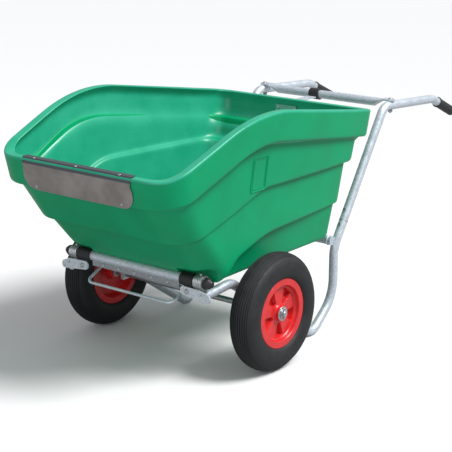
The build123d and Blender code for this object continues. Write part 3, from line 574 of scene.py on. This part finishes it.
# radii of the corners on the way down, then how many rows each straight run gets
outer_rows = rounded([crest, *outer], [15, 12, 12, 13, 10, 12, 9, 16, 40],
                     [1, 8, 2, 9, 2, 24, 2, 10, 5, 5])
inner_rows = rounded([crest, *inner], [14, 14, 24, 30, 20, 22, 20, 18, 30, 40],
                     [1, 2, 6, 2, 8, 2, 20, 2, 8, 4, 5])
print("rows", len(outer_rows), len(inner_rows), "columns", 2 * half_count)


# %% [markdown]
# Over the hinge the moulding makes room: a shallow groove for the tube, and a wide arch over
# each bush. Pushing every point that comes too near straight away from the hinge's axis makes
# both at once, and pushing the inside a wall's thickness further keeps the wall even.

# %% Make room for the hinge
hinge_x, hinge_z = 255.0, 346.0
tube_room, bush_room = 17.4, 46.0     # radius of the groove for the tube, and of each arch
arch_from, arch_to, arch_soft = 184.0, 326.0, 6.0     # an arch's two ends, and how soft they are


def clear_hinge(points, extra):
    """Move points radially off the hinge line to at least the room each y asks for.

    The room is the groove's radius, and rises to the arch's by a smooth step at each end."""
    x, y, z = points[..., 0] - hinge_x, np.abs(points[..., 1]), points[..., 2] - hinge_z
    distance = np.hypot(x, z)
    arch = (np.clip((y - arch_from + extra) / arch_soft, 0, 1)
            * np.clip((arch_to + extra - y) / arch_soft, 0, 1))
    room = tube_room + extra + (bush_room - tube_room) * arch * arch * (3 - 2 * arch)
    scale = np.maximum(room / np.maximum(distance, 1e-6), 1)
    moved = points.copy()
    moved[..., 0] = hinge_x + x * scale
    moved[..., 2] = hinge_z + z * scale
    return moved


rows = np.concatenate([clear_hinge(inner_rows, wall)[::-1], clear_hinge(outer_rows, 0.0)[1:]])
mirrored = rows[:, ::-1] * np.array([1, -1, 1])
middle_rear = rows[:, -1:] * np.array([1, 0, 1])
around = np.concatenate([rows, middle_rear, mirrored[:, :-1]], axis=1)
crest_highlight_rows = 5                        # rows past the crest that take the paler inside finish too, a painted highlight along the rim
columns = around.shape[1]
tub_skin = piece("tub_skin", around, sheet_faces(len(around), columns, wrap_columns=True),
                 "tub", "tub_plastic", green, 60, (len(inner_rows) + crest_highlight_rows) * columns, green_worn_and_sheen)
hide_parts("tub")
print("tub faces", len(tub_skin.data.polygons))

# %% [markdown]
# The left side carries a panel in low relief: a plain raised frame, left blank, with a thinner
# line inside it. Each is a round bead along a rounded rectangle that lies on the second tier.

# %% A blank panel in relief
panel_x, panel_z = 70.0, 676.0        # the panel's middle
panel_lean = 0.08                     # how far it leans back per millimetre of height
below, above = 620.0, 732.0           # heights a little below and above the panel


def on_second_tier(x, z):
    """How far out the second tier's left wall stands at each point in side view.

    The wall's outlines below and above the panel are read at x, and mixed by height."""
    low, high = (half_outline(1, np.full(half_count, at), 0, 0) for at in (below, above))
    y_low, y_high = (np.interp(x, row[::-1, 0], row[::-1, 1]) for row in (low, high))
    return y_low + (y_high - y_low) * (z - below) / (above - below)


def frame_bead(half_x, half_z, corner, thick, count=160, sides=10):
    """A bead along a rounded rectangle: a square's direction, shortened by a superellipse."""
    angle = np.arange(count) * 2 * math.pi / count
    size = (np.abs(np.cos(angle)) ** corner + np.abs(np.sin(angle)) ** corner) ** (-1 / corner)
    z = panel_z + half_z * size * np.sin(angle)
    x = panel_x + half_x * size * np.cos(angle) - panel_lean * (z - panel_z)
    path = np.stack([x, on_second_tier(x, z) + 0.2 * thick, z], axis=-1)
    way = np.roll(path, -1, axis=0) - np.roll(path, 1, axis=0)
    way /= np.linalg.norm(way, axis=1)[:, None]
    out = np.array([0, 1, 0]) - way * way[:, 1:2]
    beside = np.cross(way, out)
    turn = np.arange(sides)[None, :, None] * 2 * math.pi / sides
    return path[:, None] + thick * (np.cos(turn) * out[:, None] + np.sin(turn) * beside[:, None])


for name, made in (("panel_frame", frame_bead(38, 55, 14, 2.1)),
                   ("panel_line", frame_bead(31, 48, 14, 1.2))):
    piece(name, made, sheet_faces(*made.shape[:2], True, True), "tub", "tub_plastic", green, 60)
print("panel at", on_second_tier(np.array([panel_x]), np.array([panel_z])).round(1))

# %% [markdown]
# ## The lip's sheet
# The lip is capped by thin sheet that hangs down the front, creases, and folds back over the
# rim. Its side view is one short path; the sheet is that path carried across, with the front
# and the back of the metal made together as a closed loop. Its half width changes on the way
# up: rounded lower corners, then a slight waist under the crease.

# %% The path and the width
sheet_thick = 1.8
sheet_low, sheet_drop = 627.0, 85.0   # height of the lower edge, and from there to the crease
sheet_wide, sheet_corner = 231.0, 44.0        # half the width, and the lower corners' radius
waist, waist_z, waist_tall = 5.0, 702.0, 9.0
sheet_columns = 61


def front_face(z):
    """The top tier's front, which leans forward as it rises."""
    at, front, grow_front = (tiers[0][n] for n in (0, 2, 9))
    return front + grow_front * (z - at)


def sheet_half(z):
    """Half width by height: a quarter circle at the bottom, then a bell-shaped waist."""
    up = np.clip(z - sheet_low, 0, sheet_corner)
    corner = sheet_corner - np.sqrt(sheet_corner ** 2 - (sheet_corner - up) ** 2)
    return sheet_wide - corner - waist * np.exp(-((z - waist_z) / waist_tall) ** 2)


face_z = sheet_low + sheet_drop * (1 - np.cos(np.linspace(0, math.pi / 2, 40)))
face_x = front_face(face_z) + 0.8 + 1.7 * (face_z - sheet_low) / sheet_drop
face = np.stack([face_x, face_z], axis=-1)
fold_end, tail = np.array([524.3, 731.4]), np.array([506.0, 732.4])
strip = face[-1] + (fold_end - face[-1]) * np.linspace(0.12, 1, 6)[:, None]
path = np.concatenate([face, strip, fold_end + (tail - fold_end) * np.linspace(0.15, 1, 5)[:, None]])
along = np.gradient(path, axis=0)
along /= np.linalg.norm(along, axis=1)[:, None]
outward = np.stack([along[:, 1], -along[:, 0]], axis=-1)
loop = np.concatenate([path + outward * sheet_thick, path[::-1]])
half = sheet_half(loop[:, 1])
half = np.concatenate([half[:len(path)], half[:len(path)][::-1]])
across = np.linspace(-1, 1, sheet_columns)
sheet = np.stack([loop[:, :1] + 0 * across, half[:, None] * across, loop[:, 1:] + 0 * across], axis=-1)
faces = sheet_faces(len(loop), sheet_columns, wrap_rows=True)
front_row = np.arange(len(path)) * sheet_columns
back_row = (2 * len(path) - 1) * sheet_columns - front_row
ends = [k + np.stack([front_row[:-1], front_row[1:], back_row[1:], back_row[:-1]], axis=-1)
        for k in (0, sheet_columns - 1)]
lip_sheet = piece("lip_sheet", sheet, np.concatenate([faces, *ends]), "tub", "wear_sheet", rolled, sharp=25)
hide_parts("wear_plate")
print("lip sheet faces", len(lip_sheet.data.polygons))

# %% [markdown]
# ## The wheels
# Tyre and wheel centre are both turned shapes: a section that runs around the axle. The tyre's
# section is a bead, a bulging wall and a crown with grooves; the wheel centre's is a rim, a dish
# and a hub, and its dish is pressed in at five places by a depth that depends on the angle.
# Both wheels are alike, so each shape is made once and placed on either side.


# %% Turn a section around the axle
def turned(section, count, dip=None):
    """Rows of (across, radius) carried around the axle; dip(radius, angle) sinks the across."""
    angle = np.arange(count) * 2 * math.pi / count
    across = section[:, :1] + 0 * angle
    radius = section[:, 1:] + 0 * angle
    if dip is not None:
        across = across - dip(section, radius, angle + 0 * radius)
    return np.stack([radius * np.sin(angle), across, axle_z + radius * np.cos(angle)], axis=-1)


def curve(points, count):
    """A Bezier curve through its end points, bent by the ones between."""
    t = np.linspace(0, 1, count)[:, None]
    points = [np.array(p, float) for p in points]
    while len(points) > 1:
        points = [a * (1 - t) + b * t for a, b in zip(points, points[1:])]
    return points[0]


def straight(start, end, count):
    """Evenly spaced points on a line."""
    return np.array(start) + (np.array(end) - np.array(start)) * np.linspace(0, 1, count)[:, None]


def both_sides(points, names, body, slot, material, sharp):
    """A left-hand wheel piece and its mirror image, each in its place."""
    made = []
    for side, way in (("left", 1), ("right", -1)):
        placed = points * np.array([1, way, 1]) + np.array([0, way * wheel_y, 0])
        faces = sheet_faces(*points.shape[:2], True, True)
        made.append(piece(f"{names}_{side}", placed, faces, f"{body}_{side}", slot, material, sharp))
    return made


low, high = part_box("tyre_left")
wheel_y = 500 * (low.y + high.y)
print("wheel centre at", round(wheel_y, 1))

# %% [markdown]
# A ribbed tyre has grooves round its crown and thin ridges round its wall. Each groove is a
# flat-bottomed dip taken off the section's radius, and each ridge a small bell added to its
# width, so both are true shape and not bump. Only half of the section is drawn.

# %% Tyres
groove_places, groove_deep, groove_half = (4.5, 12.5, 20.5, 27.0, 32.0), 3.2, 1.25
ridge_places, ridge_high, ridge_half = (127.0, 172.0, 180.0), 0.55, 1.6
crown = curve([(35.0, 186.5), (29.5, 194.0), (14.0, 199.85), (0.0, 199.85)], 84)
grooves = sum(np.exp(-(((crown[:, 0] - place) / groove_half) ** 4)) for place in groove_places)
crown[:, 1] -= groove_deep * grooves
wall_side = curve([(33.2, 116.8), (50.5, 119.0), (56.0, 166.0), (35.0, 186.5)], 34)
ridges = sum(np.exp(-(((wall_side[:, 1] - place) / ridge_half) ** 2)) for place in ridge_places)
wall_side[:, 0] += ridge_high * ridges
half_tyre = np.concatenate([straight((33.0, 101.2), (33.0, 115.5), 4), wall_side, crown[1:]])
section = np.concatenate([half_tyre, half_tyre[-2::-1] * np.array([-1, 1])])
tyres = both_sides(turned(section, 180), "tyre_skin", "wheel", "tyre", rubber, 34)
for tyre_skin, side in zip(tyres, ("left", "right")):
    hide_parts(f"tyre_{side}")
print("tyre faces", len(tyres[0].data.polygons))

# %% [markdown]
# The wheel centre's pockets could be cut out, but a depth that fades in from each pocket's
# edges gives soft pressed corners in one step. Only the points of the section that lie on the
# dish are moved, so the rim and the hub stay round.

# %% Wheel centres
pocket_count, pocket_deep, pocket_soft = 5, 15.0, 3.5
pocket_in, pocket_out = 35.0, 85.0    # radii between which the pockets lie
dish_back, dish_front = 12.0, 30.0    # the dish's points are the ones between these


def pockets(section, radius, angle):
    """Depth of the wedge pockets: a smooth step with the distance inside the nearest edge.

    A pocket's half width grows with the radius, and its sides run beside the nearest spoke."""
    turn = 2 * math.pi / pocket_count
    off = angle % turn - turn / 2
    half_width = 7.0 + 0.36 * (radius - 34)
    inside = np.minimum(half_width - np.abs(radius * np.sin(off)),
                        np.minimum(radius - pocket_in, pocket_out - radius))
    share = np.clip(inside / pocket_soft, 0, 1)
    facing = ((section[:, 0] > dish_back) & (section[:, 0] < dish_front))[:, None]
    return pocket_deep * share * share * (3 - 2 * share) * facing


outer_face = np.concatenate([
    straight((38.4, 14.2), (38.4, 22.6), 4),
    curve([(38.2, 23.2), (37.0, 24.4), (27.0, 24.6), (23.6, 29.0)], 8),
    straight((23.5, 31.0), (22.0, 86.0), 48),
    curve([(22.0, 86.5), (23.0, 92.0), (30.0, 93.0), (36.0, 94.0)], 9),
    straight((38.0, 96.0), (38.0, 115.5), 8),
    curve([(38.0, 116.0), (38.0, 117.4), (36.6, 117.4)], 4)])
inner_face = np.concatenate([
    curve([(-36.6, 117.4), (-38.0, 117.4), (-38.0, 116.0)], 4),
    straight((-38.0, 115.5), (-38.0, 96.0), 6),
    curve([(-36.0, 94.0), (-30.0, 93.0), (-10.0, 92.0), (-8.0, 84.0)], 9),
    straight((-8.0, 83.0), (-8.0, 34.0), 16),
    curve([(-9.0, 31.0), (-14.0, 27.0), (-36.0, 26.0), (-37.8, 24.0)], 8),
    straight((-37.8, 22.0), (-37.8, 14.2), 3)])
back = np.array([(33.0, 117.0), (33.0, 100.9), (-33.0, 100.9), (-33.0, 117.0)])
section = np.concatenate([outer_face, back, inner_face])
centres = both_sides(turned(section, 220, pockets), "wheel_dish", "wheel", "wheel_red", red, 38)
for dish, side in zip(centres, ("left", "right")):
    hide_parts(f"wheel_centre_{side}")
print("wheel centre faces", len(centres[0].data.polygons))

# %% [markdown]
# A thin plated ring closes the hub around the axle. It is one more turned section.

# %% Steel ring on each hub
section = np.concatenate([straight((38.6, 11.2), (40.0, 12.0), 2), straight((40.05, 13.0), (40.05, 22.5), 5),
                          curve([(40.0, 23.0), (39.9, 24.4), (38.6, 24.6)], 5)])
rings = both_sides(turned(section, 96), "hub_ring", "wheel", "zinc_hardware", plated, 30)
print("hub rings", len(rings))

# %% [markdown]
# ## The ends of the hinge
# Outside each bush a ribbed steel collar keeps the hinge tube from sliding, and a black plug
# that tapers to a blunt tip closes the tube. Both are turned about the hinge line instead of
# the axle, so the turning function is used again and its result is moved to that line.

# %% Collars and plugs
def on_hinge(section, count):
    """A section of (y, radius) turned about the hinge line."""
    across = section[:, :1] + 0 * np.arange(count)
    angle = np.arange(count) * 2 * math.pi / count
    return np.stack([hinge_x + section[:, 1:] * np.sin(angle), across,
                     hinge_z + section[:, 1:] * np.cos(angle)], axis=-1)


collar_from, collar_to, collar_root = 255.6, 289.4, 21.9      # its ends, and radius in a groove
rib_high, rib_pitch = 1.5, 6.76
along_collar = np.linspace(collar_from, collar_to, 60)
ribs = rib_high * (0.5 + 0.5 * np.cos((along_collar - collar_from) * 2 * math.pi / rib_pitch)) ** 0.6
collar = np.concatenate([
    straight((255.2, 17.1), (255.2, 20.0), 3),
    np.stack([along_collar, collar_root + ribs], axis=-1),
    straight((289.8, 20.0), (289.8, 17.1), 3)])
plug = np.concatenate([
    straight((290.4, 17.05), (290.4, 18.4), 2),
    curve([(291.0, 19.0), (300.0, 19.2), (305.0, 17.9)], 6),
    straight((306.0, 17.4), (315.5, 11.4), 8),
    curve([(316.5, 10.8), (319.8, 8.6), (319.9, 4.0), (319.9, 0.4)], 8),
    straight((303.0, 0.4), (302.2, 17.0), 4)])
for side, way in (("left", 1), ("right", -1)):
    flip = np.array([1, way, 1])
    made = on_hinge(collar, 72) * flip
    ring = piece(f"ribbed_collar_{side}", made, sheet_faces(*made.shape[:2], True, True), "tub",
                 "zinc_hardware", plated, 30)
    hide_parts(f"hinge_collar_{side}")
    made = on_hinge(plug, 72) * flip
    end = piece(f"hinge_plug_{side}", made, sheet_faces(*made.shape[:2], True, True), "tub",
                "black_plastic", black_plastic, 30)
    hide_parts(f"hinge_cap_{side}")
print("hinge ends done")

# %% [markdown]
# Under the floor a moulded rib reaches forward to the steel strip, so that its screws have
# something to bite into. It is a bar of rounded section with its ends pulled in.

# %% The rib behind the strip
rib_x, rib_z, rib_long, rib_tall = 231.4, 329.5, 30.0, 14.2   # its middle, and half its section
roundness = 0.22                      # 1 would make the section an ellipse, 0 a rectangle
turn = np.arange(64) * 2 * math.pi / 64
out_x = rib_long * np.sign(np.cos(turn)) * np.abs(np.cos(turn)) ** roundness
out_z = rib_tall * np.sign(np.sin(turn)) * np.abs(np.sin(turn)) ** roundness
rib_y = np.concatenate([[-178.0, -177.2, -175.0], np.linspace(-172, 172, 40), [175.0, 177.2, 178.0]])
pulled = np.concatenate([[0.0, 0.93, 0.98], np.ones(40), [0.98, 0.93, 0.0]])[:, None]
rib = np.stack([rib_x + out_x * pulled, rib_y[:, None] + 0 * turn, rib_z + out_z * pulled], axis=-1)
piece("strip_rib", rib, sheet_faces(*rib.shape[:2], False, True), "tub", "tub_plastic", green, 40)
print("rib points", rib.shape)

# %% [markdown]
# The strip under the hinge tube is the same dipped zinc, only darker. A copy of the
# finish with darker tones keeps the crystals and the gloss as they are.

# %% Dull zinc for the strip under the hinge tube
dull = galvanised.copy()
dull.name = "galvanised_dull"
for node in dull.node_tree.nodes:
    if node.type == "MIX" and node.data_type == "RGBA":
        node.inputs["A"].default_value = (0.25, 0.27, 0.29, 1)
        node.inputs["B"].default_value = (0.37, 0.40, 0.43, 1)
nodes["hinge_strip"].material_slots[0].material = dull
print("finish", dull.name)

# %% [markdown]
# ## The side tubes
# Each side tube is one bent tube: from the hinge plate over the axle, down to the foot, and up
# behind the wheel to the splice. Its line is a chain of straight runs joined by arcs, and the
# surface is a circle carried along that line. The bend above the foot is made wide and soft.

# %% A line with arcs at its corners
def with_arcs(corners, radii, count=16):
    """Each inner corner is replaced by an arc that touches both of its runs.

    Between the arc's two ends, the radius turns evenly: each end counts by the sine of the
    angle that is left to the other."""
    corners = np.array(corners, float)
    t = np.linspace(0, 1, count)[:, None]
    line = [corners[:1]]
    for before, corner, after, radius in zip(corners, corners[1:], corners[2:], radii):
        u, v = ((q - corner) / np.linalg.norm(q - corner) for q in (before, after))
        half = 0.5 * math.acos(float(u @ v))
        centre = corner + (u + v) / np.linalg.norm(u + v) * radius / math.sin(half)
        start, end = (corner + w * radius / math.tan(half) - centre for w in (u, v))
        swing = math.pi - 2 * half
        arc = (np.sin((1 - t) * swing) * start + np.sin(t * swing) * end) / math.sin(swing)
        line.append(centre + arc)
    return np.concatenate([*line, corners[-1:]])


def tube_on(line, y, radius, sides=32):
    """A closed round tube about a line in a plane of constant y.

    Each row is a circle square to the line, and two smaller ones at each end close it."""
    way = np.gradient(line, axis=0)
    way[0], way[-1] = line[1] - line[0], line[-1] - line[-2]
    way /= np.linalg.norm(way, axis=1)[:, None]
    beside = np.stack([-way[:, 1], way[:, 0]], axis=-1)
    turn = np.arange(sides) * 2 * math.pi / sides
    rows = np.array([0.001, radius - 0.8] + [radius] * len(line) + [radius - 0.8, 0.001])
    keep = np.concatenate([[0, 0], np.arange(len(line)), [len(line) - 1] * 2])
    out = beside[keep][:, None] * np.cos(turn)[None, :, None] * rows[:, None, None]
    points = line[keep][:, None] + out
    across = y + rows[:, None] * np.sin(turn)
    return np.stack([points[..., 0], across, points[..., 1]], axis=-1)

# %% [markdown]
# The line's corners follow from a few sizes: the slopes of its runs, how far the tube passes
# above the axle, and where it meets the hinge plate and the splice. The whole line is then
# moved up or down until the tube's lowest point just clears the floor.

# %% Side tubes
low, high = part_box("side_tube_left")
tube_y, tube_radius = 500 * (low.y + high.y), 500 * (high.y - low.y)
plate_low, plate_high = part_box("hinge_plate_left")
plate_back = 1000 * plate_low.x - axle_x
plate_middle = 500 * (plate_low.z + plate_high.z)
fall_angle, leg_angle = math.radians(33.7), math.radians(33.6)
fall, heel, rise, lean = (math.tan(a) for a in (fall_angle, math.radians(38.7), math.radians(4.4), leg_angle))
past_axle = 26.1                      # from the axle's middle to the tube's, square to both
over_axle = axle_z + past_axle / math.cos(fall_angle)
front_z = plate_middle - 6.0
foot_z = tube_radius - 12.0           # the foot's corner, before its arc cuts across it
foot_x = (foot_z - over_axle) / fall
leg_x, leg_bend_z = -474.0, 291.0     # the upright behind the wheel, and where it leans back
splice_x, splice_z = -533.1, 380.0
hump_x = (plate_back * rise + front_z - over_axle) / (fall + rise)
corners = [(plate_back - 0.1, front_z), (hump_x, over_axle + fall * hump_x), (foot_x, foot_z),
           (leg_x, foot_z + (foot_x - leg_x) * heel), (leg_x, leg_bend_z),
          (leg_x - (splice_z - leg_bend_z) * lean, splice_z)]
line = with_arcs(corners, [70.0, 50.0, 140.0, 120.0])
off_floor = 0.05
line[:, 1] += tube_radius + off_floor - line[:, 1].min()
for side, way in (("left", 1), ("right", -1)):
    made = tube_on(line, way * tube_y, tube_radius)
    bent = piece(f"bent_tube_{side}", made, sheet_faces(*made.shape[:2], False, True), "frame",
                 "galvanised", galvanised, 50)
    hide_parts(f"side_tube_{side}")
print("side tube from z", front_z, "foot x", round(foot_x, 1))
print("its lowest point", round(line[:, 1].min() - tube_radius, 2))

# %% [markdown]
# ## Small things on the frame
# A weld is a bead with a ripple from each dab of filler, and a splice ends in a thin ring where
# the upper tube stops. Both are rings about a tube, so one function makes them, and the rings
# of one kind are joined into one piece.


# %% Rings and weld beads
def bead(centre, axis, radius, thick, ripple=0.0, count=72, sides=10):
    """A ring about an axis whose thickness swells and shrinks round the way.

    Its thickness is the given one plus a share of it, the ripple, by a sine of the angle."""
    axis = np.array(axis, float) / np.linalg.norm(axis)
    first = np.cross(axis, (0.3, 1.0, 0.2))
    first /= np.linalg.norm(first)
    second = np.cross(axis, first)
    angle = np.arange(count)[:, None] * 2 * math.pi / count
    turn = np.arange(sides)[None, :] * 2 * math.pi / sides
    swell = thick * (1 + ripple * np.sin(angle * 24))
    out = (np.cos(angle)[..., None] * first + np.sin(angle)[..., None] * second)
    away = radius + swell * np.cos(turn)
    return np.array(centre) + away[..., None] * out + (swell * np.sin(turn))[..., None] * axis


def joined(rings_made):
    """Several rings of one size as a single list of points and faces."""
    rows, columns = rings_made[0].shape[:2]
    faces = sheet_faces(rows, columns, True, True)
    return (np.concatenate([r.reshape(-1, 3) for r in rings_made]),
            np.concatenate([faces + n * rows * columns for n in range(len(rings_made))]))


low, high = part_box("rear_cross_member")
member = (500 * (low.x + high.x) - axle_x, 500 * (low.z + high.z))
weld_thick, weld_ripple = 2.0, 0.18
beads = []
for way in (1, -1):
    beads.append(bead((member[0], way * (tube_y - 14.5), member[1]), (0, 1, 0), 16.4,
                      weld_thick, weld_ripple))
    beads.append(bead((plate_back - 1.0, way * tube_y, front_z), (1, 0, -0.08), 16.6,
                      weld_thick, weld_ripple))
piece("weld_beads", *joined(beads), "frame", "galvanised", galvanised, 60)
up_the_leg = (-math.sin(leg_angle), 0, math.cos(leg_angle))
splices = [bead((splice_x, way * tube_y, splice_z), up_the_leg, 16.2, 1.5) for way in (1, -1)]
piece("splice_rings", *joined(splices), "frame", "zinc_hardware", plated, 60)
print("beads", len(beads), "splice rings", len(splices))

# %% [markdown]
# ## The stage
# A plain floor, a pale sky all round, two soft square lights and a broad sun. The floor is
# pale where the camera sees it and darker to every other ray, so that it does not light the
# barrow from below as strongly as a white floor would.

# %% Floor and lights
floor_mesh = bpy.data.meshes.new("floor")
floor_mesh.from_pydata([(-14, -14, 0), (14, -14, 0), (14, 14, 0), (-14, 14, 0)], [], [(0, 1, 2, 3)])
floor_piece = bpy.data.objects.new("floor", floor_mesh)
bpy.context.scene.collection.objects.link(floor_piece)
floor_paint, tree, shader = finish("floor_paint", 0.0)
seen = tree.nodes.new("ShaderNodeLightPath")
shade = tree.nodes.new("ShaderNodeMix")
shade.data_type = "RGBA"
shade.inputs["A"].default_value = (0.4, 0.4, 0.4, 1)
shade.inputs["B"].default_value = (0.86, 0.86, 0.86, 1)
wire(tree, (seen.outputs["Is Camera Ray"], shade.inputs["Factor"]),
     (shade.outputs["Result"], shader.inputs["Base Color"]))
shader.inputs["Roughness"].default_value = 0.9
floor_mesh.materials.append(floor_paint)

surround = bpy.data.worlds.new("surround")
bpy.context.scene.world = surround
surround.use_nodes = True
surround.node_tree.nodes["Background"].inputs["Color"].default_value = (0.95, 0.97, 1.0, 1)
surround.node_tree.nodes["Background"].inputs["Strength"].default_value = 0.4


def soft_light(name, place, target, size, watts):
    """A square area light that faces a point."""
    data = bpy.data.lights.new(name, "AREA")
    data.size, data.energy = size, watts
    lamp = bpy.data.objects.new(name, data)
    lamp.location = place
    lamp.rotation_euler = (Vector(target) - Vector(place)).to_track_quat("-Z", "Y").to_euler()
    bpy.context.scene.collection.objects.link(lamp)


soft_light("high_light", (-0.3, 1.4, 3.4), (0, 0, 0.5), 1.6, 45)
soft_light("front_light", (4.2, 0.8, 1.5), (0, 0, 0.5), 2.4, 30)
sky_data = bpy.data.lights.new("sky_light", "SUN")
sky_data.energy, sky_data.angle = 3.0, math.radians(24)
sky_light = bpy.data.objects.new("sky_light", sky_data)
sky_light.rotation_euler = Vector((0.3, -0.75, -1.0)).to_track_quat("-Z", "Y").to_euler()
bpy.context.scene.collection.objects.link(sky_light)

# %% [markdown]
# The camera stands in front of the barrow and to its left, and looks down on it from about
# twice its height, with a long lens so that near and far wheels look alike in size.

# %% Camera
view_data = bpy.data.cameras.new("view")
view_data.lens = 108.15
view_data.sensor_width = 36
view = bpy.data.objects.new("view", view_data)
view.location = (3.7929, 2.8624, 1.6765)
view.rotation_euler = Vector((-0.7560, -0.5962, -0.2702)).to_track_quat("-Z", "Y").to_euler()
bpy.context.scene.collection.objects.link(view)
bpy.context.scene.camera = view
bpy.context.scene.view_settings.view_transform = "Standard"
